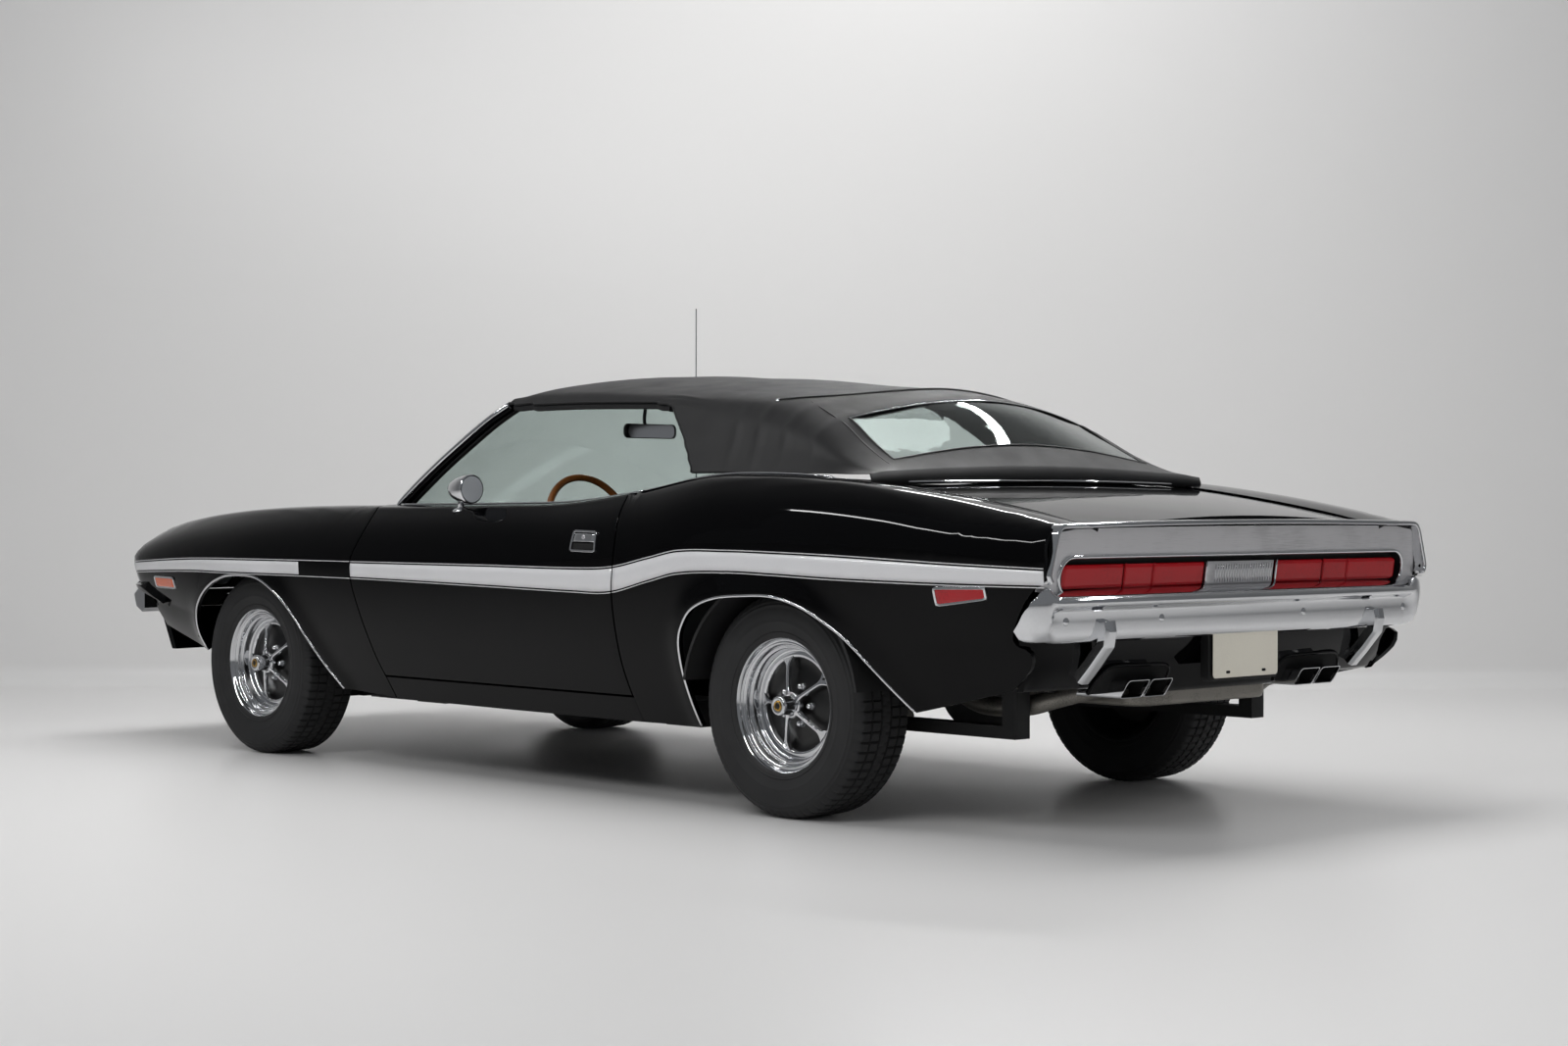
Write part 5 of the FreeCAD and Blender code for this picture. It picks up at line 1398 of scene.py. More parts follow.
    def plate(self) -> None:
        """Build the blank plate, with painted-shade patches for its four slots, in a dark pocket."""
        z_low, width, height = 0.4298, 0.305, 0.152
        loop = rounded_box(width, height, 0.01, 6)
        centre = Vector((-2.3858, 0, z_low + height / 2))
        outer = [centre + Vector((0, y, z)) for y, z in loop]
        blank = finish_piece(flat_mesh("plate_blank", outer), PLATE_CREAM, "car", ["licence_plate"])
        thicken(blank, 0.0012, 0.0003)
        finish_piece(sweep("plate_rim", outer, oval(0.004, 0.0016, 8), Vector((1, 0, 0)), closed=True), PLATE_CREAM)
        # Painted shade: each slot is a near-black patch standing in for the shadow in the hole.
        for index, (y, z) in enumerate(((-0.085, 0.062), (0.085, 0.062), (-0.085, -0.062), (0.085, -0.062))):
            slot = [centre + Vector((-0.0014, y + a, z + b)) for a, b in rounded_box(0.019, 0.008, 0.0038, 5)]
            thicken(finish_piece(flat_mesh(f"plate_slot_shade_{index + 1}", slot), PAINTED_SHADE), 0.0005, 0.0001)
        pocket = [Vector((-2.379, y, 0.52 + z)) for y, z in rounded_box(0.33, 0.2, 0.014, 5)]
        back = [p + Vector((0.03, 0, 0)) for p in pocket]
        mesh = grid_mesh("plate_pocket", [pocket, back], capped=True, wrap_columns=True)
        round_edges(finish_piece(mesh, GRILLE_BLACK), 0.002)

    def tips(self) -> None:
        """Build the twin slanted exhaust tips of both sides, with their collars and pipes."""
        width, height, tip_z, slant = 0.096, 0.052, 0.411, 0.62
        loop = rounded_box(width, height, 0.009, 4)
        for side, sign in SIDES:
            for index, y in enumerate((0.3545, 0.4575)):

                def shrunk(by: float, back: float) -> list[Vector]:
                    return [Vector((-2.35 - slant * b + back, sign * y + a * (1 - 2 * by / width),
                                    tip_z + b * (1 - 2 * by / height))) for a, b in loop]

                walls = ((0, 0.16), (0, 0.008), (0, 0), (0.0026, 0.0008), (0.003, 0.12))
                rows = [shrunk(by, back) for by, back in walls]
                mesh = grid_mesh(f"exhaust_tip_{side}_{index + 1}", rows, wrap_columns=True)
                round_edges(finish_piece(mesh, CHROME, "car", ["exhaust_tips"]), 0.0008)
                # Painted shade: a near-black lining inside each tip, where the pipe's inside lies in shade.
                lining = [shrunk(0.0034, 0.012), shrunk(0.0036, 0.118)]
                faces = grid_faces(2, len(loop), wrap_columns=True) + [tuple(range(len(loop), 2 * len(loop)))]
                finish_piece(mesh_from(f"tip_inner_shade_{side}_{index + 1}", lining[0] + lining[1], faces), PAINTED_SHADE)
            pipe = [
                (-2.2, sign * 0.406, 0.408), (-2.15, sign * 0.42, 0.396), (-2.08, sign * 0.47, 0.372),
                (-1.98, sign * 0.495, 0.345), (-1.82, sign * 0.495, 0.342), (-1.68, sign * 0.478, 0.392),
                (-1.56, sign * 0.452, 0.452), (-1.42, sign * 0.44, 0.47), (-1.24, sign * 0.44, 0.42),
            ]
            mesh = sweep(f"tail_pipe_{side}", [Vector(p) for p in curve_through(pipe, 60)], oval(0.057, 0.057, 20))
            finish_piece(mesh, EXHAUST_STEEL)
            cone = [Vector((-2.29, sign * 0.406, 0.411)), Vector((-2.19, sign * 0.406, 0.409))]
            mesh = sweep(f"tip_collar_{side}", cone, rounded_box(0.192, 0.05, 0.02, 5))
            round_edges(finish_piece(mesh, EXHAUST_STEEL), 0.008, 3)

    def build(self) -> None:
        """Build the whole tail."""
        self.panel()
        self.lamps()
        self.frame_trim()
        self.bumper()
        self.valance()
        self.plate()
        self.tips()
        log.info("tail panel, lamps, bumper, valance, plate and tips")


# Wheels

def turned(name: str, profile: Sequence[Point], centre: Vector, outward: float, count: int = 96) -> bpy.types.Mesh:
    """Turn a profile about an axle.

    Args:
        name: the mesh's name.
        profile: radius and distance outward, in metres.
        centre: the point on the axle that distances start from.
        outward: 1 for the left side, -1 for the right.
        count: steps round.

    Returns:
        The turned mesh.
    """
    rows = [
        [centre + Vector((r * math.cos(turn), outward * out, r * math.sin(turn))) for r, out in profile]
        for turn in turns(count)
    ]
    return grid_mesh(name, rows, wrap_rows=True)


def turned_ahead(name: str, profile: Sequence[Point], centre: Vector, count: int) -> bpy.types.Mesh:
    """Turn a profile of radius and distance ahead about a line that runs along the car."""
    rows = [
        [centre + Vector((out, r * math.cos(turn), r * math.sin(turn))) for r, out in profile]
        for turn in turns(count)
    ]
    return grid_mesh(name, rows, wrap_rows=True)


@dataclass(frozen=True)
class Wheels:
    """Four tyres with blocks and sipes, on deep chrome rims with five forked spokes."""

    form: BodyForm = FORM
    front_y: float = 0.758
    rear_y: float = 0.771
    tread_half: float = 0.086
    blocks: int = 68
    steps_per_block: int = 6
    groove_depth: float = 0.0065
    grooves: tuple[float, ...] = (-0.056, -0.019, 0.019, 0.056)
    groove_width: float = 0.0075
    ring_out: float = 0.033
    hub_radius: float = 0.034
    hub_out: float = 0.066
    spokes: int = 5
    stud_radius: float = 0.057
    tyre_profile: tuple[Point, ...] = (
        (0.1945, 0.088), (0.1985, 0.0975), (0.2065, 0.1035), (0.212, 0.105), (0.2135, 0.1072), (0.2155, 0.1074),
        (0.217, 0.106), (0.23, 0.1105), (0.244, 0.1143), (0.246, 0.1152), (0.248, 0.1148), (0.26, 0.1165),
        (0.272, 0.117), (0.284, 0.1162), (0.292, 0.1146), (0.2935, 0.115), (0.2955, 0.1146), (0.2965, 0.1132),
        (0.303, 0.1105), (0.3045, 0.1107), (0.3065, 0.1098), (0.3075, 0.108), (0.313, 0.1045), (0.319, 0.0995),
        (0.324, 0.0945), (0.327, 0.09),
    )
    barrel_profile: tuple[Point, ...] = (
        (0.196, 0.088), (0.204, 0.09), (0.2072, 0.0935), (0.2075, 0.0965), (0.2055, 0.099), (0.202, 0.0992),
        (0.199, 0.0975), (0.1955, 0.093), (0.1925, 0.087), (0.1908, 0.082), (0.1895, 0.0806), (0.187, 0.0806),
        (0.1845, 0.0822), (0.1815, 0.0815), (0.178, 0.077), (0.1757, 0.07), (0.1748, 0.064), (0.1736, 0.0626),
        (0.1715, 0.0626), (0.1693, 0.0632), (0.1672, 0.061), (0.1655, 0.055), (0.1646, 0.047), (0.1638, 0.04),
        (0.162, 0.0352), (0.159, 0.033), (0.156, 0.0338), (0.15, 0.0352), (0.143, 0.0358), (0.1395, 0.034),
        (0.1378, 0.029), (0.1375, 0.018),
    )

    def tyre(self, name: str, centre: Vector, outward: float) -> bpy.types.Mesh:
        """Build a tyre's skin, with ribs, blocks and sipes moulded into its tread.

        Args:
            name: the mesh's name.
            centre: the wheel's middle.
            outward: 1 for the left side, -1 for the right.

        Returns:
            The tyre's mesh.
        """
        top = self.form.tyre_radius
        half = [(r, y, 0.0) for r, y in self.tyre_profile]
        across_tread: list[tuple[float, float, float]] = []
        edges = [self.tread_half]
        for groove in reversed(self.grooves):
            edges += [groove + self.groove_width / 2, groove - self.groove_width / 2]
        edges.append(-self.tread_half)
        for index, (start, end) in enumerate(zip(edges, edges[1:])):
            in_groove = index % 2 == 1
            for step in range(3 if in_groove else 6):
                t = (step + (0.5 if in_groove else 0.02)) / (3 if in_groove else 5.2)
                y = start + (end - start) * t
                crown = top - 0.0022 * (y / self.tread_half) ** 2
                depth = self.groove_depth if in_groove else 0.0
                rib = 0.0 if in_groove else 1.0 + abs(index - len(edges) / 2 + 1) // 2
                across_tread.append((crown - depth, y, rib))
        far = [(r, -y, 0.0) for r, y in reversed(self.tyre_profile)]
        profile = half + across_tread + far
        rows = []
        for step, turn in enumerate(turns(self.blocks * self.steps_per_block)):
            row = []
            for radius, y, rib in profile:
                phase = (step + (2 if y < 0 else 0)) % self.steps_per_block
                shoulder = rib >= 2.0 or (0.305 < radius and not rib and abs(y) < 0.108)
                if shoulder and phase == 0:
                    radius -= self.groove_depth * (1.0 if rib else 0.45)
                elif rib and rib < 2.0 and phase == 3:
                    radius -= self.groove_depth * 0.6
                row.append(centre + Vector((radius * math.cos(turn), outward * y, radius * math.sin(turn))))
            rows.append(row)
        return grid_mesh(name, rows, wrap_rows=True)

    def spoke(self, name: str, centre: Vector, outward: float, turn: float) -> bpy.types.Mesh:
        """Build one spoke, ridged along its middle and forked into the ring.

        Args:
            name: the mesh's name.
            centre: the wheel's middle.
            outward: 1 for the left side, -1 for the right.
            turn: where it stands round the hub.

        Returns:
            The spoke's mesh.
        """
        rows = []
        start, end = self.hub_radius - 0.004, 0.1415
        for t in spaced(0.0, 1.0, 24):
            radius = start + (end - start) * t
            half = 0.0066 + 0.021 * max(0.0, (t - 0.72) / 0.28) ** 2.2 + 0.007 * max(0.0, (0.22 - t) / 0.22) ** 2
            out = self.hub_out + (self.ring_out + 0.002 - self.hub_out) * (0.72 * t + 0.28 * t * t)
            points = []
            for u in spaced(-1.0, 1.0, 12):
                rise = 0.0045 * (1 - u * u) ** 0.6 - 0.01 * max(0.0, abs(u) - 0.86) / 0.14
                sink = 0.004 * max(0.0, (t - 0.8) / 0.2) * (1 - abs(u)) ** 2
                points.append(Vector((half * u, outward * (out + rise - sink), radius)))
            rows.append(points)
        rotation = Matrix.Rotation(turn, 3, "Y")
        return grid_mesh(name, [[centre + rotation @ point for point in row] for row in rows])

    def nut(self, name: str, centre: Vector, outward: float, turn: float) -> bpy.types.Mesh:
        """Build one domed six-sided nut.

        Args:
            name: the mesh's name.
            centre: the wheel's middle.
            outward: 1 for the left side, -1 for the right.
            turn: where it stands round the hub.

        Returns:
            The nut's mesh.
        """
        foot = centre + Vector((
            self.stud_radius * math.sin(turn), outward * 0.026, self.stud_radius * math.cos(turn),
        ))
        rings = (
            (0.011, 0.0, True), (0.011, 0.013, True), (0.0085, 0.015, False), (0.0085, 0.02, False),
            (0.006, 0.0245, False), (0.0, 0.0262, False),
        )
        rows = []
        for radius, out, six_sided in rings:
            row = []
            for angle in turns(36):
                part = angle % (math.pi / 3) - math.pi / 6
                reach = radius * (math.cos(math.pi / 6) / math.cos(part) * 1.08 if six_sided else 1.0)
                row.append(foot + Vector((reach * math.cos(angle), outward * out, reach * math.sin(angle))))
            rows.append(row)
        return grid_mesh(name, rows, wrap_columns=True)

    def wheel(self, end: str, side: str) -> None:
        """Build one wheel on its body.

        Args:
            end: front or rear.
            side: left or right.
        """
        form, outward = self.form, 1.0 if side == "left" else -1.0
        x, y = (form.front_axle_x, self.front_y) if end == "front" else (form.rear_axle_x, self.rear_y)
        centre = Vector((x, outward * y, form.tyre_radius))
        body, tag = f"wheel_{end}_{side}", f"{end}_{side}"
        mesh = self.tyre(f"tyre_skin_{tag}", centre, outward)
        finish_piece(mesh, TYRE_RUBBER, body, [f"tyre_{tag}"])
        mesh.set_sharp_from_angle(angle=math.radians(40.0))
        mesh = turned(f"rim_barrel_{tag}", self.barrel_profile, centre, outward, 128)
        finish_piece(mesh, WHEEL_CHROME, body, [f"rim_{tag}"])
        back = ((0.206, 0.09), (0.196, 0.086), (0.19, 0.07), (0.186, 0.055), (0.18, -0.05), (0.19, -0.07),
                (0.196, -0.086), (0.206, -0.096), (0.206, -0.099), (0.193, -0.099), (0.183, -0.08),
                (0.17, -0.04), (0.156, 0.006), (0.14, 0.016))
        finish_piece(turned(f"rim_back_{tag}", back, centre, outward, 96), CHASSIS_PAINT, body)
        disc = ((0.1385, 0.018), (0.13, 0.015), (0.1, 0.017), (0.08, 0.025), (0.045, 0.03), (0.0, 0.03))
        finish_piece(turned(f"rim_disc_{tag}", disc, centre, outward, 96), SPIDER_BLACK, body)
        for index in range(self.spokes):
            turn = 2 * math.pi * index / self.spokes + 0.28
            mesh = self.spoke(f"spoke_{index + 1}_{tag}", centre, outward, turn)
            thicken(finish_piece(mesh, WHEEL_CHROME, body), 0.002, 0.0004)
            mesh = self.nut(f"nut_{index + 1}_{tag}", centre, outward, turn + math.pi / self.spokes)
            finish_piece(mesh, CHROME, body)
        self.cap(tag, body, centre, outward)
        drum = ((0.142, -0.048), (0.142, 0.002), (0.138, 0.006), (0.02, 0.008))
        mesh = turned(f"brake_drum_{tag}", drum, centre, outward, 64)
        round_edges(finish_piece(mesh, CAST_IRON, body), 0.002)
        stem = [
            centre + Vector((-0.145 + 0.012 * t, outward * (0.034 + 0.03 * t), 0.088 - 0.006 * t))
            for t in (0.0, 0.5, 1.0)
        ]
        mesh = sweep(f"valve_{tag}", stem, oval(0.0075, 0.0075, 10))
        round_edges(finish_piece(mesh, RUBBER_SEAL, body), 0.001)

    def cap(self, tag: str, body: str, centre: Vector, outward: float) -> None:
        """Build the hub's round collar and the cap that stands out of it.

        Args:
            tag: the wheel's end and side.
            body: the wheel's body.
            centre: the wheel's middle.
            outward: 1 for the left side, -1 for the right.
        """
        collar = ((0.0385, 0.05), (0.0395, 0.06), (0.0385, 0.066), (0.0355, 0.069), (0.032, 0.068), (0.0305, 0.064),
                  (0.03, 0.056))
        cap = ((0.0305, 0.056), (0.03, 0.07), (0.0293, 0.082), (0.029, 0.108), (0.0284, 0.114), (0.0268, 0.1166),
               (0.024, 0.1176), (0.0185, 0.118), (0.0178, 0.1172), (0.0, 0.117))
        ring = ((0.015, 0.1168), (0.015, 0.1184), (0.014, 0.119), (0.0108, 0.119), (0.01, 0.1184), (0.01, 0.1168))
        button = ((0.01, 0.117), (0.0098, 0.1178), (0.0, 0.1182))
        for name, profile, finish in (
            ("hub_collar", collar, WHEEL_CHROME), ("hub_cap", cap, WHEEL_CHROME), ("cap_ring", ring, CAP_GOLD),
            ("cap_centre", button, SPIDER_BLACK),
        ):
            finish_piece(turned(f"{name}_{tag}", profile, centre, outward, 64), finish, body)

    def build(self) -> None:
        """Build all four wheels."""
        for end in ("front", "rear"):
            for side in ("left", "right"):
                self.wheel(end, side)
        log.info("four wheels")


# Soft top

@dataclass(frozen=True)
class SoftTop:
    """The cloth top stretched over its bows, with its binding, seams, hem and rear window surround."""

    form: BodyForm = FORM
    bow_y: float = 0.551
    foot_y: float = 0.773
    header_x: float = 0.2284
    rear_x: float = -1.629
    stations: tuple[Row, ...] = (
        (-1.6326, 1.031, 1.02, 0.696, 1.015, 1.008), (-1.5597, 1.095, 1.053, 0.696, 1.03, 1.008),
        (-1.4504, 1.189, 1.107, 0.691, 1.069, 1.01), (-1.3192, 1.266, 1.176, 0.681, 1.126, 1.012),
        (-1.0495, 1.298, 1.245, 0.657, 1.191, 1.014), (-0.6511, 1.333, 1.275, 0.642, 1.235, 1.014),
        (-0.1992, 1.358, 1.3, 0.638, 1.258, 1.014), (0.0996, 1.359, 1.303, 0.636, 1.258, 1.014),
        (0.2284, 1.306, 1.282, 0.628, 1.26, 1.014),
    )
    hem: tuple[Row, ...] = (
        (-0.875, 1.000), (-0.8552, 1.02), (-0.76, 1.114), (-0.66, 1.205), (-0.6268, 1.227), (-0.56, 1.239),
        (-0.3644, 1.2476), (0.0, 1.251), (0.2284, 1.255),
    )
    bows: tuple[float, ...] = (0.13, -0.22, -0.62, -1.16)
    sag: float = 0.0035
    window_x: float = -1.317
    window_bow: float = 0.0535
    window_half: float = 0.541
    window_foot_x: float = -1.55
    window_foot_half: float = 0.59
    side_columns: int = 44
    window_columns: int = 60

    def arch(self, x: float) -> list[Vector]:
        """Give the cloth's line across the car at x, from its left edge to its right."""
        crown_z, bow_z, rail_y, rail_z, foot_z = [follow(self.stations, x, column) for column in range(1, 6)]
        points = [
            (self.foot_y, foot_z), ((self.foot_y + rail_y) / 2, (foot_z + rail_z) / 2), (rail_y, rail_z),
            (self.bow_y, bow_z), (self.bow_y / 2, bow_z + (crown_z - bow_z) * 0.72), (0.0, crown_z),
        ]
        whole = curve_through([*points, *((-y, z) for y, z in reversed(points[:-1]))], 241)
        half = whole[:121]
        if x > self.hem[0][0]:
            edge = follow(self.hem, x, 1)
            half = [p for p in half if p[1] >= edge or p[0] < rail_y - 0.03]
        half = even(half, 81)
        return [Vector((x, y, z)) for y, z in half] + [Vector((x, -y, z)) for y, z in reversed(half[:-1])]

    def place(self, x: float, share: float) -> Vector:
        """Give the cloth's point at x and a share of the way across.

        Args:
            x: place along the car.
            share: the way across, from 0 at the left edge to 1 at the right.

        Returns:
            The cloth's point.
        """
        step = (x - self.rear_x) / (self.header_x - self.rear_x) * (len(ARCHES) - 1)
        low = min(max(int(step), 0), len(ARCHES) - 2)
        along = min(max(step - low, 0.0), 1.0)
        side = min(max(share, 0.0), 1.0) * (len(ARCHES[0]) - 1)
        column = min(int(side), len(ARCHES[0]) - 2)
        part = side - column
        near, far = [ARCHES[row][column].lerp(ARCHES[row][column + 1], part) for row in (low, low + 1)]
        return near.lerp(far, along)

    def share_at(self, x: float, y: float) -> float:
        """Give the share of the way across at which the cloth lies y from the middle, on the left."""
        low, high = 0.0, 0.5
        for _ in range(24):
            middle = (low + high) / 2
            low, high = (middle, high) if self.place(x, middle).y > y else (low, middle)
        return low

    def window_front(self, y: float) -> float:
        """Give the rear window's front edge x at y."""
        return self.window_x - self.window_bow * max(0.0, 1 - (y / self.window_half) ** 2)

    def fold(self, point: Vector) -> float:
        """Give how far the stretched cloth stands off its fair line at a point.

        Args:
            point: a point on the cloth's fair line.

        Returns:
            The distance, outward.
        """
        x, y, z = point
        side = max(0.0, abs(y) - 0.45) / 0.2
        out = 0.0
        ordered = sorted((self.header_x, *self.bows, -1.36), reverse=True)
        for front, rear in zip(ordered, ordered[1:]):
            if rear < x < front:
                t = (front - x) / (front - rear)
                out -= self.sag * math.sin(math.pi * t) ** 2 * (1.0 if abs(y) < 0.5 else max(0.0, 1 - side))
        for x0, z0, reach, lift in ((-0.655, 1.258, 0.075, 0.003), (-0.668, 1.244, 0.07, 0.0034),
                                    (-0.68, 1.229, 0.06, 0.0028)):
            if abs(y) > 0.5:
                along, off = (x - x0) / reach, (z - z0 - 0.1 * (x - x0)) / 0.0055
                out += 1.5 * lift * math.exp(-along * along - off * off)
        if abs(y) > 0.5 and z < 1.24:
            for x0, lean, lift in (
                (-0.97, 0.24, 0.0022), (-1.07, 0.3, 0.003), (-1.18, 0.36, 0.0026), (-1.29, 0.45, 0.0022),
            ):
                off = (x - x0 + lean * (1.2 - z)) / 0.016
                out += 1.7 * lift * math.exp(-off * off) * math.sin(math.pi * min(1.0, max(0.0, (1.25 - z) / 0.24)))
        return out

    def sheet(self) -> None:
        """Build the cloth itself, open for the rear window."""
        side, middle = self.side_columns, self.window_columns
        front_rows, window_rows, rear_rows = 112, 26, 12
        levels = []
        for row in range(front_rows + window_rows + rear_rows + 1):
            if row <= front_rows:
                levels.append((0, row / front_rows))
            elif row <= front_rows + window_rows:
                levels.append((1, (row - front_rows) / window_rows))
            else:
                levels.append((2, (row - front_rows - window_rows) / rear_rows))
        points, columns = [], 2 * side + middle + 1
        for zone, t in levels:
            run = 0.0 if zone == 0 else t if zone == 1 else 1.0
            edge_y = self.window_half + (self.window_foot_half - self.window_half) * run
            for column in range(columns):
                across_window = min(max((column - side) / middle, 0.0), 1.0) * 2 - 1
                y = -edge_y * across_window
                stops = (self.header_x, self.window_front(y), self.window_foot_x, self.rear_x)
                x = stops[zone] + (stops[zone + 1] - stops[zone]) * t
                share_edge = self.share_at(x, edge_y)
                if column < side:
                    share = share_edge * column / side
                elif column > side + middle:
                    share = 1 - share_edge * (columns - 1 - column) / side
                else:
                    share = share_edge + (1 - 2 * share_edge) * (column - side) / middle
                points.append(self.place(x, share))
        last, deck_x = points[-columns:], -1.63
        for drop, back in ((0.5, -0.006), (1.0, -0.008)):
            for point in last:
                inside = min(abs(point.y), self.form.flange_y(deck_x))
                deck = min(point.z, self.form.top_z(deck_x, inside)) - 0.004
                points.append(Vector((point.x + back, point.y, point.z + (deck - point.z) * drop)))
        faces = []
        for face, quad in enumerate(grid_faces(len(levels) + 2, columns)):
            row, column = divmod(face, columns - 1)
            if not (front_rows <= row < front_rows + window_rows and side <= column < side + middle):
                faces.append(quad)
        mesh = mesh_from("soft_top_cloth", points, faces)
        normals = [vertex.normal.copy() for vertex in mesh.vertices]
        for vertex, normal in zip(mesh.vertices, normals):
            vertex.co += normal * (self.fold(vertex.co) + 0.001)
        piece = finish_piece(mesh, TOP_VINYL, "car", ["soft_top"])
        wall = piece.modifiers.new("cloth", "SOLIDIFY")
        wall.thickness = 0.0018
        wall.offset = -1.0

    def line(self, name: str, path: Sequence[Point], section: Sequence[Point], finish: Finish, lift: float) -> None:
        """Lay a welt or bead on the cloth along points of x and share."""
        points = [self.place(x, share) for x, share in path]
        outward = [(point - Vector((point.x, 0, 0.85))).normalized() for point in points]
        raised = [point + way * lift for point, way in zip(points, outward)]
        round_edges(finish_piece(sweep(name, raised, section, Vector((0, 0, 1))), finish), 0.0008, 2, 40.0)

    def binding(self) -> None:
        """Build the welt over the rear bow, its bright ends and the seams beside the window."""
        reach = self.share_at(-1.04, 0.575)
        path = [
            (-1.205 + 0.165 * (abs(share - 0.5) / (0.5 - reach)) ** 2.6, share)
            for share in spaced(reach, 1 - reach, 80)
        ]
        flat = [
            (-0.007, -0.001), (0.007, -0.001), (0.006, 0.0025), (0.003, 0.0042), (-0.003, 0.0042), (-0.006, 0.0025),
        ]
        self.line("bow_binding", path, flat, RUBBER_SEAL, 0.001)
        for side, end in (("left", path[0]), ("right", path[-1])):
            start = self.place(*end)
            finish_piece(dome(f"binding_tip_{side}", start, Vector((0, start.y, 0.5)), 0.0085, 0.006), CHROME)
            seam = []
            for t in spaced(0.0, 1.0, 40):
                x = -1.13 - 0.44 * t
                y = 0.515 + 0.05 * t ** 0.5 + 0.062 * t
                share = self.share_at(x, y)
                seam.append((x, share if side == "left" else 1 - share))
            thin = [(-0.0035, -0.0006), (0.0035, -0.0006), (0.003, 0.0012), (-0.003, 0.0012)]
            self.line(f"quarter_seam_{side}", seam, thin, TOP_VINYL, 0.0006)

    def surround(self) -> None:
        """Build the rear window's bright top line and its rubber surround."""
        top = []
        for y in spaced(self.window_half, -self.window_half, 60):
            x = self.window_front(y)
            top.append((x + 0.002, self.share_at(x, abs(y)) if y > 0 else 1 - self.share_at(x, abs(y))))
        self.line("window_top_bead", top, oval(0.005, 0.004, 8), CHROME, 0.0015)
        corner, foot_corner = (self.window_x, self.window_half), (self.window_foot_x, self.window_foot_half)
        low = [between(corner, foot_corner, t) for t in spaced(0.0, 1.0, 40)]
        rim = [(x, self.share_at(x, y)) for x, y in low]
        foot = [(self.window_foot_x, share) for share in spaced(rim[-1][1], 1 - rim[-1][1], 40)[1:-1]]
        loop = rim + foot + [(x, 1 - share) for x, share in reversed(rim)]
        self.line("window_seal", loop, oval(0.009, 0.006, 8), RUBBER_SEAL, 0.0012)

    def edges(self) -> None:
        """Build the hem's rolled edge, the rail under it and the header's moulding."""
        for (side, sign), share in zip(SIDES, (0.0, 1.0)):
            path = [(x, share) for x in spaced(self.header_x, self.header_x - 1.085, 110)]
            self.line(f"hem_{side}", path, oval(0.006, 0.008, 8), TOP_VINYL, 0.0)
            rail_start = self.header_x - 0.02
            rail = [self.place(x, share) for x in spaced(rail_start, rail_start - 0.82, 60)]
            points = [p + Vector((0, -sign * 0.016, -0.012)) for p in rail]
            mesh = sweep(f"roof_rail_{side}", points, rounded_box(0.026, 0.02, 0.005, 3))
            round_edges(finish_piece(mesh, CABIN_ABS), 0.001)
        header = [self.place(self.header_x - 0.012, step / 60) - Vector((0, 0, 0.02)) for step in range(1, 60)]
        mesh = sweep("header_moulding", header, rounded_box(0.05, 0.022, 0.008, 3))
        round_edges(finish_piece(mesh, CABIN_ABS), 0.001)
        for index, bow_x in enumerate(self.bows[:3]):
            bow = [self.place(bow_x, share) - Vector((0, 0, 0.014)) for share in spaced(0.03, 0.97, 50)]
            mesh = sweep(f"roof_bow_{index + 1}", bow, rounded_box(0.03, 0.01, 0.003, 3))
            round_edges(finish_piece(mesh, CHASSIS_PAINT), 0.001)

    def build(self) -> None:
        """Build the whole top."""
        self.sheet()
        self.binding()
        self.surround()
        self.edges()
        log.info("soft top with binding, seams, window surround, rails and bows")


ARCHES = [SoftTop().arch(x) for x in spaced(SoftTop.rear_x, SoftTop.header_x, 240)]


# Side fittings and cabin

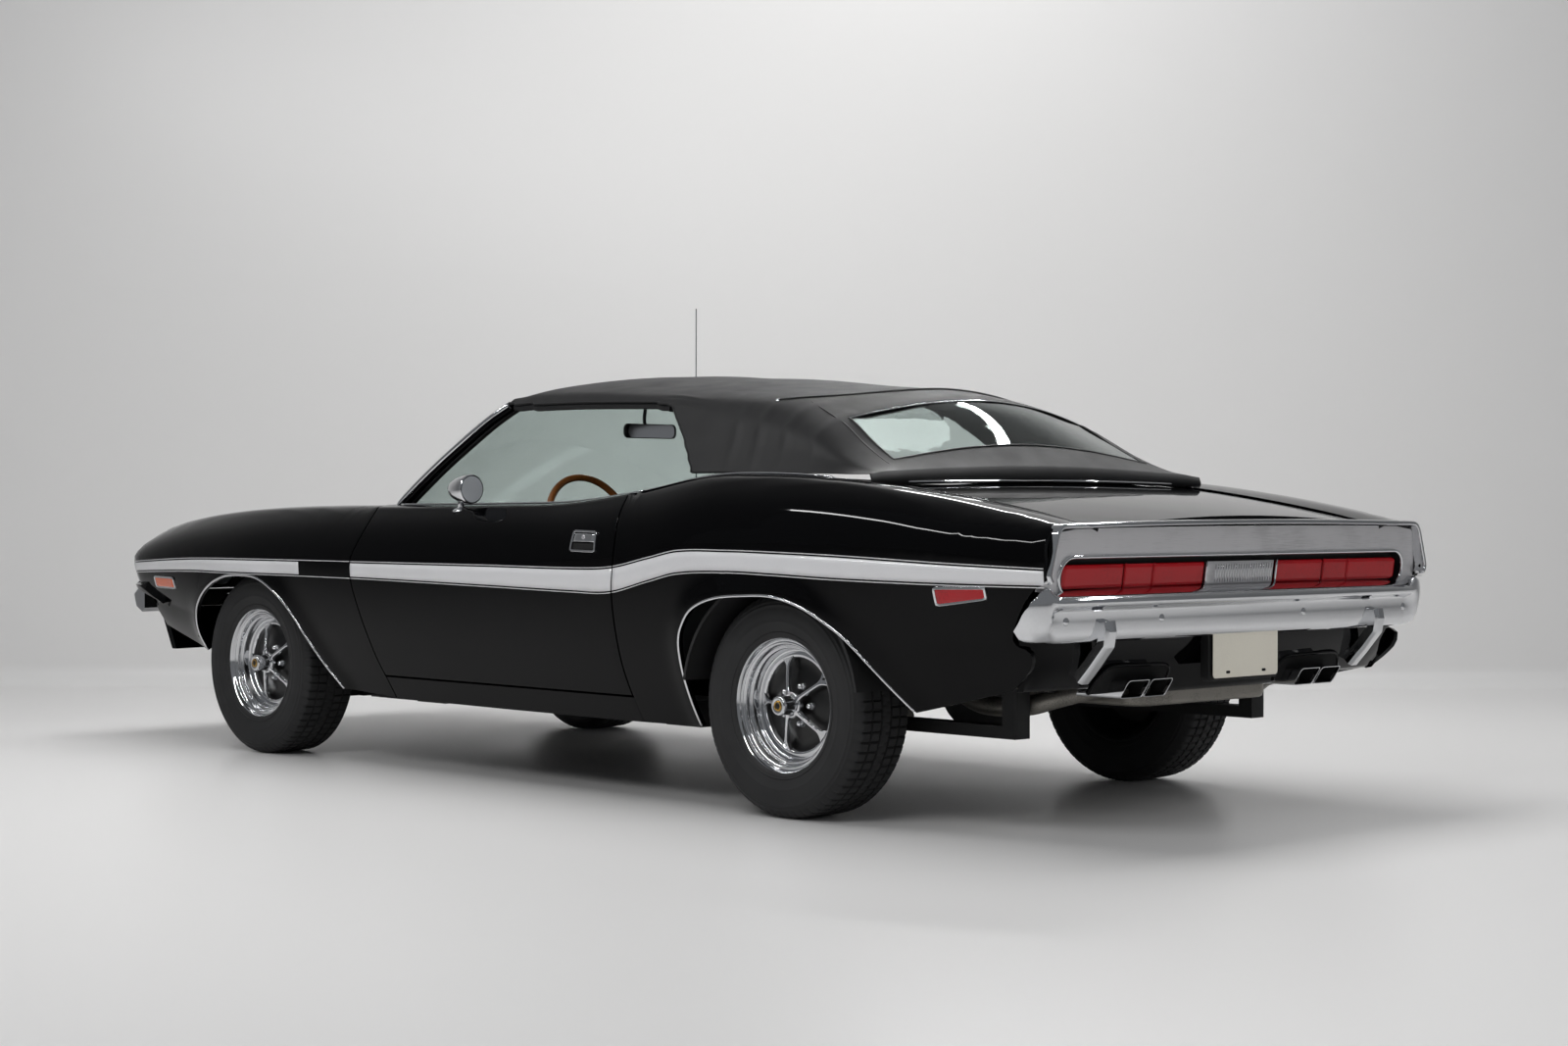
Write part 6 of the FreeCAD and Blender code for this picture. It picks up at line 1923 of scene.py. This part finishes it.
@dataclass(frozen=True)
class Fittings:
    """Side markers, door handles, the mirrors, the windshield's pillars and mouldings, and the fuel tank."""

    form: BodyForm = FORM
    pillar: tuple[tuple[float, float, float], ...] = (
        (0.65, 0.779, 0.89), (0.625, 0.776, 0.925), (0.5005, 0.748, 1.026), (0.384, 0.714, 1.116),
        (0.29, 0.662, 1.2), (0.224, 0.62, 1.252),
    )

    def patch(self, corners: Sequence[Point], lift: float, sign: float, count: int = 17) -> list[list[Vector]]:
        """Give rows of points on the side's skin inside four corners of x and z.

        Args:
            corners: front low, front high, rear high and rear low.
            lift: how far the middle stands off the skin.
            sign: 1 for the left side, -1 for the right.
            count: points along each side.
        """
        rows = []
        for v in spaced(0.0, 1.0, count - 1):
            points = []
            for u in spaced(0.0, 1.0, count - 1):
                low, high = between(corners[0], corners[3], u), between(corners[1], corners[2], u)
                x, z = between(low, high, v)
                edge = min(1.0, min(u, 1 - u) / 0.06, min(v, 1 - v) / 0.16)
                p = self.form.point(x, z, lift * (0.35 + 0.65 * math.sqrt(1 - (1 - edge) ** 2)))
                points.append(Vector((p.x, sign * p.y, p.z)))
            rows.append(points)
        return rows

    def ring(self, corners: Sequence[Point], lift: float, sign: float) -> list[Vector]:
        """Give a closed path on the skin round four corners.

        Args:
            corners: the corners, in order.
            lift: how far the path stands off the skin.
            sign: 1 for the left side, -1 for the right.

        Returns:
            The path's points.
        """
        out = []
        for a, b in zip(corners, [*corners[1:], corners[0]]):
            for t in spaced(0.06, 0.94, 9):
                p = self.form.point(*between(a, b, t), lift)
                out.append(Vector((p.x, sign * p.y, p.z)))
        return out

    def bezel(self, name: str, path: Sequence[Vector], sign: float, half: float, height: float) -> bpy.types.Mesh:
        """Run a bright frame along a closed path, a little narrower at its top."""
        section = [(-half, -height), (half, -height), (0.8 * half, height), (-0.8 * half, height)]
        return sweep(name, path, section, Vector((0, sign, 0)), closed=True)

    def markers(self) -> None:
        """Build the amber front and red rear side markers with their bright bezels."""
        front = ((2.105, 0.596), (2.1, 0.635), (1.94, 0.633), (1.938, 0.594))
        rear = ((-2.044, 0.646), (-2.04, 0.693), (-2.212, 0.697), (-2.214, 0.668))
        for side, sign in SIDES:
            for name, corners, finish in (("front", front, AMBER_ACRYLIC), ("rear", rear, RED_ACRYLIC)):
                mesh = grid_mesh(f"marker_{name}_{side}", self.patch(corners, 0.006, sign))
                thicken(finish_piece(mesh, finish, "car", ["side_markers"]), 0.005, 0.0006)
                path = self.ring(corners, 0.0026, sign)
                bezel = self.bezel(f"marker_bezel_{name}_{side}", path, sign, 0.0045, 0.003)
                round_edges(finish_piece(bezel, CHROME), 0.0012, 2, 30.0)

    def handles(self) -> None:
        """Build each door handle: a bezel, a paddle with its lock, and a painted-shade patch where the recess below
        it lies in shade.
        """
        whole = ((-0.498, 0.774), (-0.5, 0.835), (-0.612, 0.833), (-0.62, 0.772))
        paddle = ((-0.505, 0.801), (-0.506, 0.829), (-0.607, 0.827), (-0.611, 0.8))
        pull = ((-0.504, 0.778), (-0.505, 0.798), (-0.611, 0.797), (-0.614, 0.777))
        for side, sign in SIDES:
            body = f"door_{side}"
            bezel = self.bezel(f"handle_bezel_{side}", self.ring(whole, 0.003, sign), sign, 0.004, 0.0035)
            round_edges(finish_piece(bezel, CHROME, body, [f"door_handle_{side}"]), 0.0012, 2, 30.0)
            mesh = grid_mesh(f"handle_paddle_{side}", self.patch(paddle, 0.0065, sign))
            thicken(finish_piece(mesh, CHROME, body), 0.004, 0.0008)
            # Painted shade: a near-black patch below the paddle, where the handle's recess lies in shade.
            mesh = grid_mesh(f"handle_recess_shade_{side}", self.patch(pull, 0.001, sign, 5))
            thicken(finish_piece(mesh, PAINTED_SHADE, body), 0.001, 0.0002)
            place = self.form.point(-0.557, 0.814, 0.0062)
            place.y *= sign
            finish_piece(dome(f"door_lock_{side}", place, Vector((0, sign, 0)), 0.0085, 0.0022), TAIL_SILVER, body)

    def mirror(self) -> None:
        """Build the bullet mirror on its curved stalk."""
        centre, glass_radius = Vector((0.1215, 0.9065, 0.967)), 0.0428
        profile = (
            (0.0, -0.0472), (0.043, -0.0472), (0.0462, -0.049), (0.0486, -0.0455), (0.049, -0.04), (0.0475, -0.02),
            (0.0425, 0.01), (0.0345, 0.035), (0.0235, 0.055), (0.012, 0.064), (0.0, 0.0665),
        )
        finish_piece(turned_ahead("mirror_pod", profile, centre, 48), CHROME, "door_left", ["door_mirror"])
        face = [
            centre + Vector((-0.0486, glass_radius * math.cos(a), glass_radius * math.sin(a))) for a in turns(48)
        ]
        thicken(finish_piece(flat_mesh("mirror_glass", face), MIRROR_SILVER, "door_left"), 0.001, 0.0001)
        stalk = [Vector(p) for p in curve_through(
            ((0.19, 0.864, 0.902), (0.18, 0.872, 0.918), (0.162, 0.886, 0.933), (0.14, 0.9, 0.945)), 24)]
        rows = []
        for point, t in zip(stalk, spaced(0.0, 1.0, len(stalk) - 1)):
            wide, thick = 0.017 - 0.006 * math.sin(math.pi * t), 0.01 - 0.002 * math.sin(math.pi * t)
            rows.append([
                point + Vector((wide * math.cos(a), thick * math.sin(a), 0.35 * wide * math.cos(a)))
                for a in turns(20)
            ])
        finish_piece(grid_mesh("mirror_stalk", rows, wrap_columns=True), CHROME, "door_left")
        foot = dome("mirror_foot", Vector((0.19, 0.864, 0.8985)), Vector((0, 0.25, 1)), 0.03, 0.01)
        finish_piece(foot, CHROME, "door_left")

    def windshield(self) -> None:
        """Build the pillars, the header over the glass, and the bright mouldings outside the pillars."""
        path = curve_through(self.pillar, 60)
        for side, sign in SIDES:
            points = [Vector((x, sign * y, z)) for x, y, z in path]
            section = rounded_box(0.024, 0.034, 0.007, 4)
            mesh = sweep(f"pillar_{side}", points, section, Vector((0.7, 0, 0.7)))
            finish_piece(mesh, ENAMEL, "car", ["windshield_frame"])
            outer = [p + Vector((0.004, sign * 0.0135, 0.0045)) for p in points]
            mesh = sweep(f"pillar_moulding_{side}", outer, oval(0.01, 0.018, 12), Vector((0.7, 0, 0.7)))
            finish_piece(mesh, CHROME)
            inner = [p + Vector((-0.004, -sign * 0.02, -0.004)) for p in points]
            mesh = sweep(f"pillar_trim_{side}", inner, rounded_box(0.026, 0.03, 0.009, 4), Vector((0.7, 0, 0.7)))
            finish_piece(mesh, CABIN_ABS)
        header = curve_through(
            ((0.224, 0.62, 1.252), (0.262, 0.435, 1.27), (0.292, 0.213, 1.284), (0.302, 0.0, 1.288),
             (0.292, -0.213, 1.284), (0.262, -0.435, 1.27), (0.224, -0.62, 1.252)), 80)
        points = [Vector(p) + Vector((-0.022, 0, 0.004)) for p in header]
        mesh = sweep("windshield_header", points, rounded_box(0.046, 0.024, 0.008, 4))
        finish_piece(mesh, ENAMEL, "car", ["windshield_frame"])
        mesh = sweep("header_bright_strip", [p + Vector((0.026, 0, 0.002)) for p in points], oval(0.008, 0.014, 10))
        finish_piece(mesh, CHROME)
        half, base = 0.765, []
        for y in spaced(half, -half, 60):
            bow = 1 - (y / half) ** 2
            base.append(Vector((0.65 + 0.205 * bow, y, 0.884 + 0.014 * bow)))
        finish_piece(sweep("windshield_base_seal", base, oval(0.014, 0.01, 10)), RUBBER_SEAL)

    def inside_mirror(self) -> None:
        """Build the mirror inside the windshield on its short arm."""
        centre = Vector((0.213, 0.0, 1.178))
        loop = rounded_box(0.24, 0.052, 0.02, 6)
        rows = []
        for back, grow in ((0.000, 0.9), (0.002, 1.0), (0.014, 1.0), (0.024, 0.82), (0.028, 0.4)):
            rows.append([centre + Vector((back, a * grow, b * grow)) for a, b in loop])
        finish_piece(grid_mesh("inside_mirror_case", rows, wrap_columns=True), CABIN_ABS)
        mesh = flat_mesh("inside_mirror_glass", [centre + Vector((-0.0004, a * 0.9, b * 0.9)) for a, b in loop])
        thicken(finish_piece(mesh, WHEEL_CHROME), 0.001, 0.0001)
        arm = [Vector(p) for p in curve_through(((0.236, 0.0, 1.18), (0.252, 0.0, 1.215), (0.246, 0.0, 1.262)), 16)]
        finish_piece(sweep("inside_mirror_arm", arm, oval(0.014, 0.012, 12), Vector((0, 1, 0))), CABIN_ABS)

    def tank(self) -> None:
        """Build the fuel tank: two pressed halves with a seam flange, and ribs."""
        centre = Vector((-2.004, 0.0, 0.405))
        rows = []
        for grow, z in ((0.955, -0.058), (0.975, -0.054), (0.985, -0.044), (0.99, -0.004), (1.02, -0.003),
                        (1.02, 0.000), (0.99, 0.001), (0.985, 0.046), (0.97, 0.056), (0.95, 0.058)):
            rows.append([centre + Vector((a * grow, b * grow, z)) for a, b in rounded_box(0.49, 0.64, 0.055, 8)])
        mesh = grid_mesh("fuel_tank_shell", rows, capped=True, wrap_columns=True)
        round_edges(finish_piece(mesh, EXHAUST_STEEL, "car", ["fuel_tank"]), 0.003, 2, 35.0)
        for index, y in enumerate((-0.21, -0.07, 0.07, 0.21)):
            path = [centre + Vector((x, y, -0.058)) for x in (-0.2, -0.07, 0.07, 0.2)]
            finish_piece(sweep(f"tank_rib_{index + 1}", path, oval(0.02, 0.01, 12)), EXHAUST_STEEL)

    def build(self) -> None:
        """Build all the fittings."""
        self.tank()
        self.markers()
        self.handles()
        self.mirror()
        self.windshield()
        self.inside_mirror()
        log.info("markers, handles, mirrors and windshield mouldings")


@dataclass(frozen=True)
class Seats:
    """Bucket seats in front and a bench behind, as crowned and pleated cushions."""

    pleat: float = 0.042
    pleat_depth: float = 0.0045

    def cushion(
        self, name: str, centre: Vector, size: Vector, lean: float, body_nodes: Sequence[str],
    ) -> None:
        """Build one stuffed cushion as a closed, crowned form with pleats across its face.

        Args:
            name: the cushion's name.
            centre: its middle.
            size: its whole thickness, width and length.
            lean: how far it leans back, in degrees; a level cushion leans 90.
            body_nodes: CAD nodes that it stands for.
        """
        rows = []
        tilt = Matrix.Rotation(math.radians(-lean), 3, "Y")
        for v in spaced(-math.pi / 2, math.pi / 2, 48):
            points = []
            for u in turns(72):
                ring = abs(math.cos(v)) ** 0.42
                y = math.copysign(abs(math.cos(u)) ** 0.45, math.cos(u)) * ring
                x = math.copysign(abs(math.sin(u)) ** 0.55, math.sin(u)) * ring
                z = math.copysign(abs(math.sin(v)) ** 0.42, math.sin(v))
                p = Vector((x * size.x / 2, y * size.y / 2, z * size.z / 2))
                inside = max(0.0, 1 - (abs(y) / 0.72) ** 8) * max(0.0, 1 - (abs(z) / 0.8) ** 8)
                p.x += math.copysign(inside, x) * abs(x) * (
                    self.pleat_depth * abs(math.sin(math.pi * p.y / self.pleat)) ** 0.6 - self.pleat_depth)
                points.append(centre + tilt @ p)
            rows.append(points)
        finish_piece(grid_mesh(name, rows, wrap_columns=True), SEAT_VINYL, "car", body_nodes)

    def build(self) -> None:
        """Build the seats."""
        for side, sign in SIDES:
            y = sign * 0.372
            self.cushion(f"seat_cushion_{side}", Vector((-0.145, y, 0.4)), Vector((0.155, 0.5, 0.52)), 86.0,
                         ["front_seats"])
            self.cushion(f"seat_back_{side}", Vector((-0.455, y, 0.61)), Vector((0.12, 0.49, 0.56)), -14.0,
                         ["front_seats"])
            base = sweep(f"seat_base_{side}", [Vector((-0.36, y, 0.295)), Vector((0.08, y, 0.295))],
                         rounded_box(0.42, 0.07, 0.015, 4))
            round_edges(finish_piece(base, CABIN_ABS), 0.004)
        self.cushion("rear_seat_cushion", Vector((-0.96, 0.0, 0.4)), Vector((0.16, 1.13, 0.48)), 84.0,
                     ["rear_seat"])
        self.cushion("rear_seat_back", Vector((-1.245, 0.0, 0.64)), Vector((0.13, 1.13, 0.5)), -16.0,
                     ["rear_seat"])
        log.info("padded seats")


# Nose

@dataclass(frozen=True)
class Nose:
    """The four headlamps in their bright rings."""

    lamp_ys: tuple[float, ...] = (0.6379, 0.4736)
    lamp_z: float = 0.6452

    def lamp(self, name: str, centre: Vector) -> None:
        """Build one round headlamp: a ring and a domed lens with flutes.

        Args:
            name: the lamp's place and side.
            centre: the lens's middle.
        """
        ring = ((0.06, -0.01), (0.064, 0.000), (0.063, 0.008), (0.06, 0.011), (0.0565, 0.009), (0.0555, 0.002),
                (0.0555, -0.01))
        lens = ((0.0555, 0.000), (0.054, 0.004), (0.045, 0.0085), (0.03, 0.012), (0.015, 0.0135), (0.0, 0.014))
        for part, profile, finish in (("ring", ring, CHROME), ("lens", lens, CLEAR_ACRYLIC)):
            mesh = turned_ahead(f"headlamp_{part}_{name}", profile, centre, 72)
            finish_piece(mesh, finish, "car", ["headlamps"])
        for index, dy in enumerate(spaced(-0.044, 0.044, 8)):
            reach = math.sqrt(0.0005 + 0.054 ** 2 - dy ** 2) * 0.86
            path = [
                centre + Vector((0.0005 + 0.0135 * (1 - (dy ** 2 + dz ** 2) / 0.0545 ** 2), dy, dz))
                for dz in spaced(-reach, reach, 12)
            ]
            mesh = sweep(f"headlamp_flute_{index + 1}_{name}", path, oval(0.0022, 0.0016, 6), Vector((1, 0, 0)))
            finish_piece(mesh, CLEAR_ACRYLIC)

    def build(self) -> None:
        """Build the nose's fine pieces."""
        for side, sign in SIDES:
            for place, y in zip(("outer", "inner"), self.lamp_ys):
                self.lamp(f"{place}_{side}", Vector((2.303, sign * y, self.lamp_z)))
        log.info("headlamps")


# Studio

@dataclass(frozen=True)
class Studio:
    """The pale floor and wall, the soft lamps and the camera, solved from the photograph."""

    camera_place: tuple[float, float, float] = (-7.009, 6.29, 0.931)
    yaw: float = -43.8887
    pitch: float = -0.4802
    roll: float = 0.0881
    lens: float = 61.45
    wall_distance: float = 13.3
    floor_colour: str = "e6e5e4"

    def build(self) -> None:
        """Build the camera, the floor with its wall, the lamps and the world."""
        self.camera()
        self.floor()
        self.lamps()
        view = bpy.context.scene.view_settings
        view.view_transform = "Standard"

    def camera(self) -> None:
        """Place the camera."""
        data = bpy.data.cameras.new("camera")
        data.lens = self.lens
        data.sensor_width = 36.0
        data.clip_end = 200.0
        camera = bpy.data.objects.new("camera", data)
        yaw, pitch, roll = (math.radians(angle) for angle in (self.yaw, self.pitch, self.roll))
        ahead = Vector((math.cos(pitch) * math.cos(yaw), math.cos(pitch) * math.sin(yaw), math.sin(pitch)))
        right = ahead.cross(Vector((0, 0, 1))).normalized()
        up = right.cross(ahead)
        turned = right * math.cos(roll) + up * math.sin(roll)
        upright = up * math.cos(roll) - right * math.sin(roll)
        matrix = Matrix((turned, upright, -ahead)).transposed().to_4x4()
        matrix.translation = Vector(self.camera_place)
        camera.matrix_world = matrix
        bpy.context.scene.collection.objects.link(camera)
        bpy.context.scene.camera = camera

    def floor(self) -> None:
        """Make the floor and the wall behind the car as one swept sheet."""
        yaw = math.radians(self.yaw)
        ahead = Vector((math.cos(yaw), math.sin(yaw), 0))
        right = Vector((math.sin(yaw), -math.cos(yaw), 0))
        start = Vector((*self.camera_place[:2], 0))
        radius, width = 0.12, 60.0
        profile = [(-30.0, 0.0), (self.wall_distance - radius, 0.0)]
        for step in range(1, 9):
            turn = math.pi / 2 * step / 8
            run = self.wall_distance - radius + radius * math.sin(turn)
            profile.append((run, radius - radius * math.cos(turn)))
        profile.append((self.wall_distance, 18.0))
        rows = [[start + ahead * run + right * side + Vector((0, 0, rise)) for side in (-width, width)]
                for run, rise in profile]
        mesh = grid_mesh("floor", rows)
        floor = bpy.data.objects.new("floor", mesh)
        bpy.context.scene.collection.objects.link(floor)
        material = bpy.data.materials.new("painted_studio_floor")
        material.use_nodes = True
        tree = material.node_tree
        shader = next(node for node in tree.nodes if node.type == "BSDF_PRINCIPLED")
        shader.inputs["Base Color"].default_value = linear(self.floor_colour)
        shader.inputs["Roughness"].default_value = 0.32
        shader.inputs["Specular IOR Level"].default_value = 0.35
        mesh.materials.append(material)

    def lamps(self) -> None:
        """Light the car with soft lamps above it and an even world."""
        for name, place, aim, size, power in (
            ("overhead", (0.3, 0.0, 5.6), (0, 0, 0), (6.5, 2.6), 265.0),
            ("left_high", (-2.5, 6.5, 5.2), (0, 0, 0.5), (5.0, 2.0), 150.0),
            ("right_high", (1.5, -6.5, 5.0), (0, 0, 0.5), (5.0, 2.0), 165.0),
            ("rear_high", (-8.0, 0.5, 4.6), (-1.0, 0, 0.7), (2.5, 4.5), 115.0),
            ("wall_wash", (7.0, -4.0, 6.0), (8.0, -7.0, 2.0), (7.0, 2.5), 70.0),
            ("strip_left", (-1.0, 3.4, 4.2), (-1.0, 0, 0.6), (7.0, 0.16), 150.0),
            ("strip_right", (-1.0, -3.2, 4.2), (-1.0, 0, 0.6), (7.0, 0.16), 150.0),
        ):
            data = bpy.data.lights.new(name, "AREA")
            data.shape = "RECTANGLE"
            data.size, data.size_y = size
            data.energy = power
            lamp = bpy.data.objects.new(name, data)
            lamp.location = place
            lamp.rotation_euler = (Vector(aim) - Vector(place)).to_track_quat("-Z", "Y").to_euler()
            lamp.visible_glossy = name.startswith("strip")
            lamp.visible_diffuse = not name.startswith("strip")
            bpy.context.scene.collection.objects.link(lamp)
        world = bpy.data.worlds.new("room")
        bpy.context.scene.world = world
        world.use_nodes = True
        background = next(node for node in world.node_tree.nodes if node.type == "BACKGROUND")
        background.inputs["Color"].default_value = linear("b9bcc0")
        background.inputs["Strength"].default_value = 0.34


def main() -> None:
    """Build the car's pieces in order, and the studio round it."""
    logging.basicConfig(level=logging.INFO, format="%(message)s")
    dress_nodes()
    BodySides().build()
    SideTrim().build()
    Tail().build()
    Wheels().build()
    SoftTop().build()
    Fittings().build()
    Seats().build()
    Nose().build()
    Studio().build()


if __name__ == "__main__":
    main()
